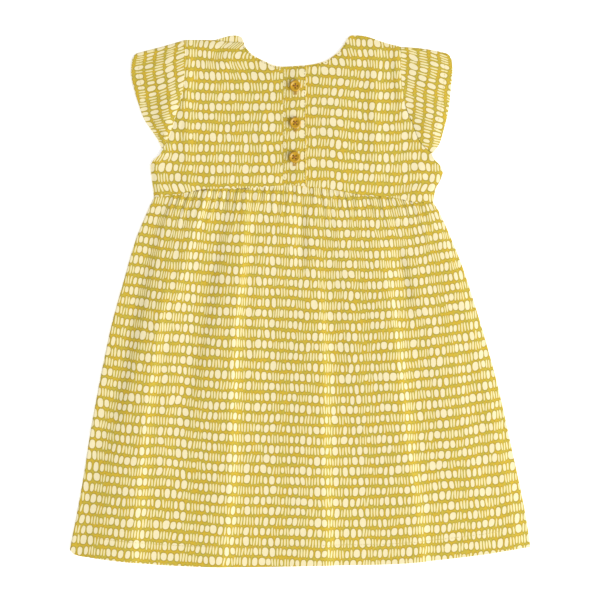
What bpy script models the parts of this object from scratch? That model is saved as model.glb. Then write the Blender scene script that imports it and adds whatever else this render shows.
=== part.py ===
"""A small child's cap-sleeved dress that buttons down the back, laid flat on its front.

The neck points to +Y, the buttoned back faces +Z and the front lies on the surface at Z = 0.
The origin is in the middle of the dress on that surface. Lengths are in millimetres, and each
mesh is made in metres. Every cloth piece is a closed wall between two skins of the same rows.
"""

import math

import bmesh
import bpy
from mathutils import Matrix, Vector

MM = 0.001

# Cloth
WALL = 1.4  # thickness of each cloth wall
GAP = 0.3  # between two layers, and between two pieces at a seam
LAYER = WALL + GAP  # from one layer's underside to the next one's

# Edges, each from left to right or from the bottom up, as (x, y) in the plane of the surface
WAIST = (
    (-132.0, 93.0),
    (-108.0, 96.5),
    (-86.0, 100.5),
    (-44.0, 101.8),
    (-9.5, 104.0),
    (28.0, 100.0),
    (56.0, 95.2),
    (84.0, 93.0),
    (100.0, 89.5),
    (119.5, 88.5),
)
HEM = (
    (-207.6, -223.5),
    (-204.0, -228.0),
    (-191.0, -230.8),
    (-160.0, -234.6),
    (-114.0, -238.2),
    (-50.0, -239.5),
    (10.0, -238.2),
    (80.0, -236.8),
    (125.0, -233.0),
    (165.0, -228.2),
    (195.0, -223.4),
    (207.6, -221.5),
)
SKIRT_SIDES = {
    "left": (
        (-132.0, 93.0),
        (-137.2, 82.0),
        (-148.4, 55.0),
        (-160.4, 14.0),
        (-171.3, -26.0),
        (-187.4, -107.0),
        (-196.0, -161.0),
        (-207.6, -223.5),
    ),
    "right": (
        (119.5, 88.5),
        (124.2, 81.5),
        (135.0, 58.0),
        (147.0, 28.0),
        (164.2, -26.0),
        (178.0, -76.0),
        (191.0, -134.0),
        (202.5, -188.0),
        (207.6, -221.5),
    ),
}
BODICE_SIDES = {
    "left": ((-132.0, 93.0), (-133.0, 102.0), (-134.2, 112.0), (-135.3, 122.0)),
    "right": ((119.5, 88.5), (121.7, 99.9), (126.1, 108.9), (128.4, 115.5)),
}
# The bare underarm edge, up to where the sleeve begins, and the armhole's seam from there
UNDERARMS = {
    "left": ((-135.3, 122.0), (-132.2, 127.0), (-126.8, 131.6), (-123.6, 137.3)),
    "right": ((128.4, 115.5), (125.3, 122.6), (120.6, 127.4), (117.8, 133.2)),
}
ARMHOLES = {
    "left": (
        (-123.6, 137.3),
        (-118.0, 150.0),
        (-111.5, 170.0),
        (-105.5, 192.0),
        (-104.2, 212.0),
        (-104.0, 235.2),
    ),
    "right": (
        (117.8, 133.2),
        (108.0, 143.0),
        (101.0, 160.0),
        (94.0, 178.0),
        (90.4, 204.0),
        (90.6, 229.0),
    ),
}
# Shoulder seams with the neck edge between them
BACK_NECK_LEFT = (
    (-104.0, 235.2),
    (-80.0, 235.0),
    (-62.0, 233.2),
    (-52.2, 232.4),
    (-49.0, 228.0),
    (-43.4, 221.8),
    (-32.5, 216.0),
    (-22.0, 211.6),
    (-16.0, 210.9),
)
BACK_NECK_RIGHT = (
    (-11.8, 210.7),
    (5.0, 212.3),
    (16.0, 214.2),
    (24.0, 217.0),
    (31.0, 221.8),
    (37.2, 228.0),
    (41.2, 234.6),
    (44.6, 238.6),
    (50.0, 239.5),
    (60.0, 238.2),
    (76.0, 232.8),
    (90.6, 229.0),
)
FRONT_NECK = (
    (-104.0, 235.2),
    (-80.0, 235.2),
    (-73.0, 236.6),
    (-66.0, 238.6),
    (-60.0, 239.5),
    (-53.4, 238.2),
    (-51.0, 232.6),
    (-49.5, 222.0),
    (-42.0, 204.0),
    (-26.0, 191.0),
    (-4.0, 187.0),
    (18.0, 191.0),
    (33.0, 204.0),
    (39.5, 222.0),
    (43.4, 235.0),
    (46.6, 238.0),
    (51.0, 239.0),
    (60.0, 237.8),
    (76.0, 232.4),
    (90.6, 229.0),
)
SLEEVE_HEMS = {
    "left": (
        (-125.2, 138.4),
        (-128.4, 145.0),
        (-134.3, 153.9),
        (-140.3, 162.9),
        (-144.0, 171.9),
        (-149.6, 190.0),
        (-152.6, 205.0),
        (-151.0, 222.6),
    ),
    "right": (
        (119.8, 134.2),
        (124.8, 140.8),
        (128.9, 154.0),
        (133.2, 171.0),
        (136.0, 196.0),
        (137.0, 208.0),
        (135.8, 222.2),
    ),
}

# Skirt: a gathered panel on each face
PANEL_WIDTH = 415.0  # width of one skirt panel at the hem, where it isn't gathered
GATHERS = 34  # along the waist seam of one panel
GATHER_UNEVEN = ((0.28, 2.4, 0.0), (0.14, 5.3, 1.0))  # waves in their widths: share, step, start
GATHER_RISE = 9.0  # below the seam, where a gather reaches its full height
SEAM_SQUEEZE = 0.4  # share of a gather's height that the seam leaves
# Depths below the waist seam, with the number of columns in each gather
FINE_ROWS = ((0.0, 4), (3.5, 4), (10.0, 4), (20.0, 4), (34.0, 4))
MIDDLE_ROWS = ((50.0, 2), (68.0, 2), (90.0, 2))
COARSE_ROWS = ((118.0, 1), (150.0, 1), (186.0, 1), (224.0, 1), (262.0, 1), (300.0, 1), (338.0, 1))
SIDE_SETTLE = 16.0  # how far in from a side seam the back sinks onto the front
BACK_LIFT = 1.0  # between the layers of the skirt, away from its sides
LIFT_DEPTH = 40.0  # below the seam, where that lift is whole

# Gathers of one panel: mean height and reach below the seam, each with its unevenness
GATHERING = {
    "back": {"height": 2.0, "uneven": 0.35, "reach": 62.0, "reach_uneven": 0.45, "phase": 0.0},
    "front": {"height": 1.1, "uneven": 0.35, "reach": 48.0, "reach_uneven": 0.40, "phase": 2.1},
}
GATHER_FADE = 0.2  # share of its reach where a gather starts to fade

# Long soft folds: place across the panel at waist and hem (0 to 1), where the fold begins and
# ends down its length (0 to 1), half its width and its height in mm, a trough being below 0
FOLD_COLUMNS = ("waist", "hem", "begin", "end", "half_width", "height")
FOLD_BEGINS = 0.3  # share of a fold's length over which it rises
FOLD_ENDS = 0.4  # and over which it sinks again
FOLDS = {
    "back": (
        (0.056, 0.030, 0.02, 0.85, 11.0, -0.9),
        (0.154, 0.154, 0.22, 1.30, 19.0, 1.5),
        (0.275, 0.215, 0.00, 0.80, 13.0, -1.0),
        (0.353, 0.346, 0.06, 1.30, 19.0, 1.7),
        (0.415, 0.425, 0.18, 0.68, 11.0, -0.8),
        (0.590, 0.559, 0.25, 1.30, 20.0, 1.4),
        (0.690, 0.665, 0.12, 0.85, 13.0, -0.8),
        (0.800, 0.777, 0.18, 1.30, 20.0, 1.7),
        (0.900, 0.890, 0.08, 0.75, 12.0, -0.7),
    ),
    "front": (
        (0.180, 0.120, 0.05, 0.90, 13.0, 0.8),
        (0.360, 0.330, 0.10, 0.60, 11.0, 0.6),
        (0.540, 0.560, 0.00, 0.80, 14.0, 0.9),
        (0.720, 0.780, 0.05, 0.95, 12.0, 0.7),
        (0.880, 0.900, 0.10, 0.55, 10.0, 0.5),
    ),
}

# Bodice
SIDE_ROWS = 3  # rows of a bodice wall along its side seam
UNDERARM_ROWS = 3  # along its bare underarm edge
ARMHOLE_ROWS = 9  # and along its armhole seam
BODICE_ROWS = SIDE_ROWS + UNDERARM_ROWS + ARMHOLE_ROWS
HALF_COLUMNS = 14
FRONT_COLUMNS = 34
BODICE_CROWN = 0.7  # how far each back half swells between its edges
CROWN_RISE = 30.0  # how far from the button band the swelling is whole

# Button band: sewn to the left half, lapping over the right one
BAND_LEFT = -15.9
BAND_RIGHT = 5.0
BAND_STEP = 3.2  # width over which it climbs onto the right half
BAND_ROWS = 8
BAND_COLUMNS = 3  # in the step, and again in the flat rest
RIGHT_HALF_EDGE = -11.8  # the right half's own edge, under the band

# Sleeves
SLEEVE_COLUMNS = 5
TURN_STEPS = 4  # of the turn at the sleeve's folded top
SLEEVE_CROWN = 1.6  # how far the upper layer stands off the lower one
FOLD_BOW = {"left": -0.4, "right": 1.4}  # how far the folded top bows out of the straight

# Buttons
BUTTON_RADIUS = 5.0
BUTTON_HEIGHT = 2.5
BUTTON_PROFILE = (  # from the middle of the face round the rim: radius and height, as shares
    (0.0, 0.72),
    (0.56, 0.72),
    (0.72, 0.96),
    (0.86, 1.0),
    (0.97, 0.84),
    (1.0, 0.5),
    (0.9, 0.16),
    (0.7, 0.0),
    (0.0, 0.0),
)
BUTTON_PLACES = {"top": (-4.7, 193.1), "middle": (-4.7, 160.0), "bottom": (-5.4, 129.1)}
BUTTON_TURNS = {"top": 42.0, "middle": 0.0, "bottom": -8.0}  # degrees, of the four holes
BUTTON_STEPS = 24
HOLE_RADIUS = 0.7
HOLE_OFFSET = 1.3  # of each of the four holes from the middle, along X and Y
HOLE_SIDES = 10

BISECTIONS = 30  # to find where an edge passes a given x

CLOTH_COLOUR = (0.70, 0.55, 0.18, 1.0)
BUTTON_COLOUR = (0.46, 0.22, 0.02, 1.0)


def smooth(x):
    """0 below 0, 1 above 1, and an even S between."""
    x = min(max(x, 0.0), 1.0)
    return x * x * (3.0 - 2.0 * x)


def lerp(a, b, t):
    return a + (b - a) * t


def curve(points):
    """The smooth curve through the points, as a function of t from 0 to 1 along their chords."""
    points = [Vector(p) for p in points]
    lengths = [0.0]
    for here, there in zip(points, points[1:]):
        lengths.append(lengths[-1] + (there - here).length)
    slopes = []
    for i in range(len(points)):
        before, after = max(i - 1, 0), min(i + 1, len(points) - 1)
        slopes.append((points[after] - points[before]) / (lengths[after] - lengths[before]))

    def at(t):
        s = min(max(t, 0.0), 1.0) * lengths[-1]
        i = 0
        while i < len(points) - 2 and s > lengths[i + 1]:
            i += 1
        span = lengths[i + 1] - lengths[i]
        x = (s - lengths[i]) / span
        rise = x * x * (3.0 - 2.0 * x)
        start = slopes[i] * (span * x * (1.0 - x) ** 2)
        end = slopes[i + 1] * (span * x * x * (1.0 - x))
        return points[i] * (1.0 - rise) + points[i + 1] * rise + start - end

    return at


def samples(edge, steps):
    """Points at even steps along an edge, with both its ends."""
    return [edge(i / steps) for i in range(steps + 1)]


def patch(start, end, left, right):
    """The flat patch inside four edges, as a function of u across and v from start to end."""

    def at(u, v):
        sides = left(v).lerp(right(v), u)
        ends = start(u).lerp(end(u), v)
        corners = start(0).lerp(start(1), u).lerp(end(0).lerp(end(1), u), v)
        return sides + ends - corners

    return at


def by_list(points):
    """The straight-sided edge through the points, at even steps of t."""

    def at(t):
        place = min(max(t, 0.0), 1.0) * (len(points) - 1)
        i = min(int(place), len(points) - 2)
        return points[i].lerp(points[i + 1], place - i)

    return at


def join_rows(mesh, near, far):
    """Triangles between two rows of vertices, which may differ in number."""
    i, j = 0, 0
    while i < len(near) - 1 or j < len(far) - 1:
        near_next = (i + 1) / (len(near) - 1)
        far_next = (j + 1) / (len(far) - 1)
        if i < len(near) - 1 and (near_next <= far_next or j == len(far) - 1):
            mesh.faces.new((near[i], near[i + 1], far[j]))
            i += 1
        else:
            mesh.faces.new((near[i], far[j + 1], far[j]))
            j += 1


def cloth_wall(name, outer, inner, material):
    """A closed wall between an outer and an inner skin, each a list of rows of points."""
    mesh = bmesh.new()
    skins = [[[mesh.verts.new(p * MM) for p in row] for row in skin] for skin in (outer, inner)]
    for skin in skins:
        for near, far in zip(skin, skin[1:]):
            join_rows(mesh, near, far)
    borders = []
    for skin in skins:
        borders.append((skin[0], skin[-1], [row[0] for row in skin], [row[-1] for row in skin]))
    for edge, edge_inside in zip(*borders):
        join_rows(mesh, edge, edge_inside)
    bmesh.ops.recalc_face_normals(mesh, faces=mesh.faces)
    add_object(name, mesh, material)


def thicker(under):
    """The outer skin of a wall, one wall's thickness above its underside."""
    return [[p + Vector((0.0, 0.0, WALL)) for p in row] for row in under]


def add_object(name, mesh, material):
    data = bpy.data.meshes.new(name)
    mesh.to_mesh(data)
    mesh.free()
    data.materials.append(material)
    data.shade_smooth()
    data.set_sharp_from_angle(angle=math.radians(50))
    piece = bpy.data.objects.new(name, data)
    bpy.data.collections["Dress"].objects.link(piece)
    return piece


# Skirt


def gather_edges():
    """The valleys between a panel's gathers, from 0 to 1 across it."""
    widths = []
    for k in range(GATHERS):
        waves = [share * math.sin(step * k + start) for share, step, start in GATHER_UNEVEN]
        widths.append(1.0 + sum(waves))
    edges = [0.0]
    for width in widths:
        edges.append(edges[-1] + width / sum(widths))
    return edges


def gather_height(k, ridge, depth, gathering):
    """Height of gather k at a point that is ridge (0 to 1) up its side, depth below the seam."""
    uneven = math.sin(1.9 * k + gathering["phase"])
    reach_uneven = math.sin(3.1 * k + 0.6 + gathering["phase"])
    height = gathering["height"] * (1.0 + gathering["uneven"] * uneven)
    reach = gathering["reach"] * (1.0 + gathering["reach_uneven"] * reach_uneven)
    rise = lerp(SEAM_SQUEEZE, 1.0, smooth(depth / GATHER_RISE))
    fade = 1.0 - smooth((depth / reach - GATHER_FADE) / (1.0 - GATHER_FADE))
    return height * ridge * rise * fade


def fold_height(u, v, folds):
    """Height that the long soft folds add at u across and v down the panel."""
    height = 0.0
    for row in folds:
        fold = dict(zip(FOLD_COLUMNS, row))
        across = (u - lerp(fold["waist"], fold["hem"], v)) * PANEL_WIDTH / fold["half_width"]
        length = fold["end"] - fold["begin"]
        begun = smooth((v - fold["begin"]) / (FOLD_BEGINS * length))
        remains = smooth((fold["end"] - v) / (FOLD_ENDS * length))
        height += fold["height"] * math.exp(-across * across) * begun * remains
    return height


def relief(face, lift, k, part, u, v, depth):
    """Height of one skirt panel over what it lies on, part (0 to 1) of the way across gather k."""
    ridge = math.sin(math.pi * part) ** 2
    settle = smooth(min(u, 1.0 - u) * PANEL_WIDTH / SIDE_SETTLE)
    soft = max(lift + fold_height(u, v, FOLDS[face]), 0.0)
    return settle * (soft + gather_height(k, ridge, depth, GATHERING[face]))


def skirt_rows():
    """Rows of points on the front panel's underside, and above them on the back panel's."""
    sides = (curve(SKIRT_SIDES["left"]), curve(SKIRT_SIDES["right"]))
    place = patch(curve(WAIST), curve(HEM), *sides)
    edges = gather_edges()
    depths = FINE_ROWS + MIDDLE_ROWS + COARSE_ROWS
    front, back = [], []
    for depth, columns in depths:
        v = depth / depths[-1][0]
        lift = BACK_LIFT * smooth(depth / LIFT_DEPTH)
        seam = GAP / 2 if depth == 0.0 else 0.0
        front_row, back_row = [], []
        for i in range(GATHERS * columns + 1):
            k = min(i // columns, GATHERS - 1)
            part = i / columns - k
            u = lerp(edges[k], edges[k + 1], part)
            p = place(u, v)
            low = relief("front", 0.0, k, part, u, v, depth)
            high = low + LAYER + relief("back", lift, k, part, u, v, depth)
            front_row.append(Vector((p.x, p.y - seam, low)))
            back_row.append(Vector((p.x, p.y - seam, high)))
        front.append(front_row)
        back.append(back_row)
    return front, back


def make_skirt(cloth):
    for name, under in zip(("skirt_front", "skirt_back"), skirt_rows()):
        cloth_wall(name, thicker(under), under, cloth)


# Bodice


def side_points(side):
    """A bodice wall's side edge, from the waist up: side seam, bare underarm, armhole seam."""
    points = samples(curve(BODICE_SIDES[side]), SIDE_ROWS)
    points += samples(curve(UNDERARMS[side]), UNDERARM_ROWS)[1:]
    points += samples(curve(ARMHOLES[side]), ARMHOLE_ROWS)[1:]
    points[0] = points[0] + Vector((0.0, GAP / 2))
    return points


def waist_between(start, end):
    """The waist edge of a bodice piece that spans start to end (0 to 1) of the waist seam."""
    waist = curve(WAIST)
    lift = Vector((0.0, GAP / 2))
    return lambda t: waist(lerp(start, end, t)) + lift


def crossing(edge, x):
    """The place (0 to 1) where an edge that runs to the right passes x."""
    low, high = 0.0, 1.0
    for _ in range(BISECTIONS):
        middle = (low + high) / 2
        if edge(middle).x < x:
            low = middle
        else:
            high = middle
    return low


def bodice_wall(name, place, columns, level, cloth):
    """A bodice piece on a flat patch, with its underside at level(point, v)."""
    under = []
    for j in range(BODICE_ROWS + 1):
        v = j / BODICE_ROWS
        flat = [place(i / columns, v) for i in range(columns + 1)]
        under.append([Vector((p.x, p.y, level(p, v))) for p in flat])
    cloth_wall(name, thicker(under), under, cloth)


def make_front_bodice(cloth):
    left, right = by_list(side_points("left")), by_list(side_points("right"))
    place = patch(waist_between(0.0, 1.0), curve(FRONT_NECK), left, right)
    bodice_wall("front_bodice", place, FRONT_COLUMNS, lambda p, v: 0.0, cloth)


def back_level(p, v):
    """Underside of a back half: flat by the button band, and swelling towards the sides."""
    beside = max(BAND_LEFT - p.x, p.x - BAND_RIGHT)
    return LAYER + BODICE_CROWN * smooth(beside / CROWN_RISE) * math.sin(math.pi * v)


def make_back_bodice(cloth):
    band_seam = crossing(curve(WAIST), BAND_LEFT - GAP)
    waist, neck = waist_between(0.0, band_seam), curve(BACK_NECK_LEFT)
    middle = by_list([waist(1.0), neck(1.0)])
    place = patch(waist, neck, by_list(side_points("left")), middle)
    bodice_wall("back_bodice_left", place, HALF_COLUMNS, back_level, cloth)

    under_band = crossing(curve(WAIST), RIGHT_HALF_EDGE)
    waist, neck = waist_between(under_band, 1.0), curve(BACK_NECK_RIGHT)
    middle = by_list([waist(0.0), neck(0.0)])
    place = patch(waist, neck, middle, by_list(side_points("right")))
    bodice_wall("back_bodice_right", place, HALF_COLUMNS, back_level, cloth)


def band_level(x):
    """Underside of the button band: the left half's own, then over the right half."""
    return LAYER + LAYER * smooth((x - BAND_LEFT) / BAND_STEP)


def make_button_band(cloth):
    columns = [BAND_LEFT + BAND_STEP * i / BAND_COLUMNS for i in range(BAND_COLUMNS)]
    over = BAND_LEFT + BAND_STEP
    columns += [lerp(over, BAND_RIGHT, i / BAND_COLUMNS) for i in range(BAND_COLUMNS + 1)]
    waist = waist_between(0.0, 1.0)
    neck = curve(BACK_NECK_LEFT[-2:] + BACK_NECK_RIGHT[1:3])
    ends = [(waist(crossing(waist, x)).y, neck(crossing(neck, x)).y) for x in columns]
    under = []
    for j in range(BAND_ROWS + 1):
        row = [
            Vector((x, lerp(low, high, j / BAND_ROWS), band_level(x)))
            for x, (low, high) in zip(columns, ends)
        ]
        under.append(row)
    cloth_wall("button_band", thicker(under), under, cloth)


# Sleeves


def sleeve_section(layer, step, tip, hem, armhole, t):
    """Points of a sleeve's outer and inner skin, t of the way from its hem to its armhole."""
    if layer == "turn":
        angle = math.pi * step / TURN_STEPS
        turn = WALL + GAP / 2
        centre = Vector((tip.x, tip.y - turn, turn))
        out = Vector((0.0, math.sin(angle), -math.cos(angle)))
        return centre + out * turn, centre + out * (GAP / 2)
    p = hem[step].lerp(armhole[step], t)
    if layer == "lower":
        return Vector((p.x, p.y, 0.0)), Vector((p.x, p.y, WALL))
    crown = SLEEVE_CROWN * math.sin(math.pi * t) * math.sin(math.pi * step / ARMHOLE_ROWS)
    return Vector((p.x, p.y, LAYER + crown + WALL)), Vector((p.x, p.y, LAYER + crown))


def make_sleeve(side, cloth):
    """A cap sleeve: one strip that runs up the front, over its folded top and down the back."""
    outward = -GAP if side == "left" else GAP
    armhole = samples(curve(ARMHOLES[side]), ARMHOLE_ROWS)
    armhole = [p + Vector((outward, 0.0)) for p in armhole]
    hem = samples(curve(SLEEVE_HEMS[side]), ARMHOLE_ROWS)
    sections = [("lower", j) for j in range(ARMHOLE_ROWS)]
    sections += [("turn", j) for j in range(TURN_STEPS + 1)]
    sections += [("upper", j) for j in reversed(range(ARMHOLE_ROWS))]
    outer, inner = [], []
    for layer, step in sections:
        pairs = []
        for i in range(SLEEVE_COLUMNS + 1):
            t = i / SLEEVE_COLUMNS
            bow = Vector((0.0, FOLD_BOW[side] * math.sin(math.pi * t)))
            tip = hem[-1].lerp(armhole[-1], t) + bow
            pairs.append(sleeve_section(layer, step, tip, hem, armhole, t))
        outer.append([pair[0] for pair in pairs])
        inner.append([pair[1] for pair in pairs])
    cloth_wall(f"sleeve_{side}", outer, inner, cloth)


# Buttons


def make_button(name, x, y, degrees, plastic):
    """A round button with a raised rim, a dished face and four holes turned by degrees."""
    base = band_level(BAND_RIGHT) + WALL + GAP
    mesh = bmesh.new()
    verts = [
        mesh.verts.new((r * BUTTON_RADIUS * MM, 0.0, z * BUTTON_HEIGHT * MM))
        for r, z in BUTTON_PROFILE
    ]
    for here, there in zip(verts, verts[1:]):
        mesh.edges.new((here, there))
    button = add_object(name, mesh, plastic)
    button.location = (x * MM, y * MM, base * MM)
    round_form = button.modifiers.new("Turned", "SCREW")
    round_form.steps = BUTTON_STEPS
    round_form.render_steps = BUTTON_STEPS
    round_form.use_merge_vertices = True
    round_form.merge_threshold = 0.00001
    holes = hole_cutter(f"{name}_holes")
    holes.location = button.location
    holes.rotation_euler.z = math.radians(degrees)
    cut = button.modifiers.new("Holes", "BOOLEAN")
    cut.operation = "DIFFERENCE"
    cut.object = holes


def hole_cutter(name):
    mesh = bmesh.new()
    for side_x in (-1, 1):
        for side_y in (-1, 1):
            middle = Vector((side_x * HOLE_OFFSET, side_y * HOLE_OFFSET, BUTTON_HEIGHT / 2)) * MM
            bmesh.ops.create_cone(
                mesh,
                cap_ends=True,
                segments=HOLE_SIDES,
                radius1=HOLE_RADIUS * MM,
                radius2=HOLE_RADIUS * MM,
                depth=2.0 * BUTTON_HEIGHT * MM,
                matrix=Matrix.Translation(middle),
            )
    data = bpy.data.meshes.new(name)
    mesh.to_mesh(data)
    mesh.free()
    cutter = bpy.data.objects.new(name, data)
    cutter.hide_render = True
    cutter.display_type = "WIRE"
    bpy.data.collections["Cutters"].objects.link(cutter)
    return cutter


def make_material(name, colour, roughness):
    material = bpy.data.materials.new(name)
    material.use_nodes = True
    shader = material.node_tree.nodes["Principled BSDF"]
    shader.inputs["Base Color"].default_value = colour
    shader.inputs["Roughness"].default_value = roughness
    shader.inputs["Metallic"].default_value = 0.0
    return material


def main():
    for piece in list(bpy.data.objects):
        bpy.data.objects.remove(piece)
    for name in ("Dress", "Cutters"):
        bpy.context.scene.collection.children.link(bpy.data.collections.new(name))
    cloth = make_material("Printed cotton", CLOTH_COLOUR, 0.9)
    plastic = make_material("Amber plastic", BUTTON_COLOUR, 0.35)
    make_skirt(cloth)
    make_front_bodice(cloth)
    make_back_bodice(cloth)
    make_button_band(cloth)
    for side in ("left", "right"):
        make_sleeve(side, cloth)
    for place, (x, y) in BUTTON_PLACES.items():
        make_button(f"button_{place}", x, y, BUTTON_TURNS[place], plastic)


main()
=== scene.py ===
"""The looks of a small child's cap-sleeved dress, laid flat on its front with its buttons showing.

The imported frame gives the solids. Each cloth solid is replaced by a thin shell on the same form,
with gathers, folds, seams, stitches and a printed cotton. Lengths are in millimetres until a mesh
is made, and UV coordinates are millimetres of cloth over UV_UNIT. The neck points to +Y, the
buttoned back faces +Z and the front lies on the surface at Z = 0.
"""

import math

import bmesh
import bpy
import numpy as np
from mathutils import Matrix, Vector, noise
from mathutils.bvhtree import BVHTree


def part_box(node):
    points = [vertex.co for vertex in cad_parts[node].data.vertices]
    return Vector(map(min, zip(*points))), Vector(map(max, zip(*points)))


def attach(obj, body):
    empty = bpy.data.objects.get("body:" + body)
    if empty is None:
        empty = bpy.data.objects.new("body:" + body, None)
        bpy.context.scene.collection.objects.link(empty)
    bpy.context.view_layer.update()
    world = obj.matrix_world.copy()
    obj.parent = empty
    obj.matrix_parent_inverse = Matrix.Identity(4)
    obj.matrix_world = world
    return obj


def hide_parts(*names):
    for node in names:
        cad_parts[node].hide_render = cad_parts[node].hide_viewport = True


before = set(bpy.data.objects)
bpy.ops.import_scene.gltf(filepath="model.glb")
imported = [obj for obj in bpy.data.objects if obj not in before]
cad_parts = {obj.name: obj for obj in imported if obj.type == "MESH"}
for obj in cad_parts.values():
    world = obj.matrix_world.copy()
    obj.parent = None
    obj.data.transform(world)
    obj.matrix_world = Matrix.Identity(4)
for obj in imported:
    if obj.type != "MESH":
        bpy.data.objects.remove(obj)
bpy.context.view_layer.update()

MM = 0.001
UV_UNIT = 100.0  # millimetres of cloth in one UV unit
BODY = "root"

# Levels of the cloth, above the surface
LOWER_LEVEL = 0.45  # middle of the layer that lies on the surface
UPPER_LEVEL = 2.4  # middle of the layer on top of it
COTTON = 0.25  # half the thickness of one layer of cotton
TURNED = 0.4  # and of a hem, where it is turned in

# Edges, each from left to right or from the bottom up, as (x, y) in the plane of the surface
WAIST = (
    (-132.0, 93.0), (-108.0, 96.5), (-86.0, 100.5), (-44.0, 101.8), (-9.5, 104.0),
    (28.0, 100.0), (56.0, 95.2), (84.0, 93.0), (100.0, 89.5), (119.5, 88.5),
)
HEM = (
    (-207.6, -223.5), (-204.0, -228.0), (-191.0, -230.8), (-160.0, -234.6), (-114.0, -238.2),
    (-50.0, -239.5), (10.0, -238.2), (80.0, -236.8), (125.0, -233.0), (165.0, -228.2),
    (195.0, -223.4), (207.6, -221.5),
)
SKIRT_SIDES = {
    "left": (
        (-132.0, 93.0), (-137.2, 82.0), (-148.4, 55.0), (-160.4, 14.0), (-171.3, -26.0),
        (-187.4, -107.0), (-196.0, -161.0), (-207.6, -223.5),
    ),
    "right": (
        (119.5, 88.5), (124.2, 81.5), (135.0, 58.0), (147.0, 28.0), (164.2, -26.0),
        (178.0, -76.0), (191.0, -134.0), (202.5, -188.0), (207.6, -221.5),
    ),
}
BODICE_SIDES = {
    "left": ((-132.0, 93.0), (-133.0, 102.0), (-134.2, 112.0), (-135.3, 122.0)),
    "right": ((119.5, 88.5), (121.7, 99.9), (126.1, 108.9), (128.4, 115.5)),
}
UNDERARMS = {
    "left": ((-135.3, 122.0), (-132.2, 127.0), (-126.8, 131.6), (-123.6, 137.3)),
    "right": ((128.4, 115.5), (125.3, 122.6), (120.6, 127.4), (117.8, 133.2)),
}
ARMHOLES = {
    "left": (
        (-123.6, 137.3), (-118.0, 150.0), (-111.5, 170.0), (-105.5, 192.0), (-104.2, 212.0),
        (-104.0, 235.2),
    ),
    "right": (
        (117.8, 133.2), (108.0, 143.0), (101.0, 160.0), (94.0, 178.0), (90.4, 204.0),
        (90.6, 229.0),
    ),
}
BACK_NECK_LEFT = (
    (-104.0, 235.2), (-80.0, 235.0), (-62.0, 233.2), (-52.2, 232.4), (-49.0, 228.0),
    (-43.4, 221.8), (-32.5, 216.0), (-22.0, 211.6), (-16.0, 210.9),
)
BACK_NECK_RIGHT = (
    (-11.8, 210.7), (5.0, 212.3), (16.0, 214.2), (24.0, 217.0), (31.0, 221.8),
    (37.2, 228.0), (41.2, 234.6), (44.6, 238.6), (50.0, 239.5), (60.0, 238.2),
    (76.0, 232.8), (90.6, 229.0),
)
FRONT_NECK = (
    (-104.0, 235.2), (-80.0, 235.2), (-73.0, 236.6), (-66.0, 238.6), (-60.0, 239.5),
    (-53.4, 238.2), (-51.0, 232.6), (-49.5, 222.0), (-42.0, 204.0), (-26.0, 191.0),
    (-4.0, 187.0), (18.0, 191.0), (33.0, 204.0), (39.5, 222.0), (43.4, 235.0),
    (46.6, 238.0), (51.0, 239.0), (60.0, 237.8), (76.0, 232.4), (90.6, 229.0),
)
SHOULDER_ENDS = {"left": BACK_NECK_LEFT[3], "right": BACK_NECK_RIGHT[8]}  # where the neck begins
SLEEVE_HEMS = {
    "left": (
        (-125.2, 138.4), (-128.4, 145.0), (-134.3, 153.9), (-140.3, 162.9), (-144.0, 171.9),
        (-149.6, 190.0), (-152.6, 205.0), (-151.0, 222.6),
    ),
    "right": (
        (119.8, 134.2), (124.8, 140.8), (128.9, 154.0), (133.2, 171.0), (136.0, 196.0),
        (137.0, 208.0), (135.8, 222.2),
    ),
}
SEAM_GAP = 0.3  # between two pieces at a seam of the layer that lies on the surface
SEAM_LINE = 0.01  # and at one that shows, where both edges turn down
SEAM_DIP = 0.04  # how far down
SEAM_DIP_REACH = 1.0  # and over what width
SEAM_RIM = 0.06  # width over which an edge is rounded off at such a seam
GATHER_START = 1.4  # depth under the waist seam at which the gathers have begun
JOINED_DIP = 1.0  # how far the upper layer's edge turns down to the lower one's
JOINED_REACH = 3.0
ALLOWANCE = {"width": 5.5, "height": 0.35, "rise": 1.5, "fall": 2.0}  # its ridge beside a seam

# Skirt
SKIRT_DEPTH = 338.0  # from the waist seam to the hem
PANEL_WIDTH = 415.0  # width of one skirt panel at the hem
PANEL_MEAN = 330.0  # and on average, as laid
FAN = 0.5  # how far a panel keeps that width up to its gathers: 1 is a rectangle
GATHERS = 34
GATHER_UNEVEN = ((0.28, 2.4, 0.0), (0.14, 5.3, 1.0))  # of their widths: share, step and start
GATHER_RISE = 6.0  # depth over which they rise to their height
SEAM_SQUEEZE = 0.4  # share of it that they have at the seam
GATHERING = {
    "back": {"height": 0.45, "reach": 42.0, "phase": 0.0},
    "front": {"height": 0.40, "reach": 36.0, "phase": 2.1},
}
GATHER_HEIGHTS = ((0.45, 1.9), (0.30, 4.7))  # how uneven the gathers are: share and step
GATHER_REACHES = ((0.45, 3.1), (0.25, 1.3))
GATHER_STRAY = {"width": 1.6, "down": 13.0, "across": 23.0}  # from a gather's straight course
GATHER_FADE = 0.2  # share of its reach at which a gather begins to fade
GATHER_ROUND = 0.75  # below 1, a gather's crest is broader than its valley
TUCKS = 71  # small tucks between the gathers, right under the seam
TUCK_HEIGHT = 0.2
TUCK_REACH = 12.0
TUCK_HEIGHTS = ((0.6, 4.1),)  # how uneven the tucks are: share and step
TUCK_REACHES = ((0.6, 2.7),)
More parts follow.
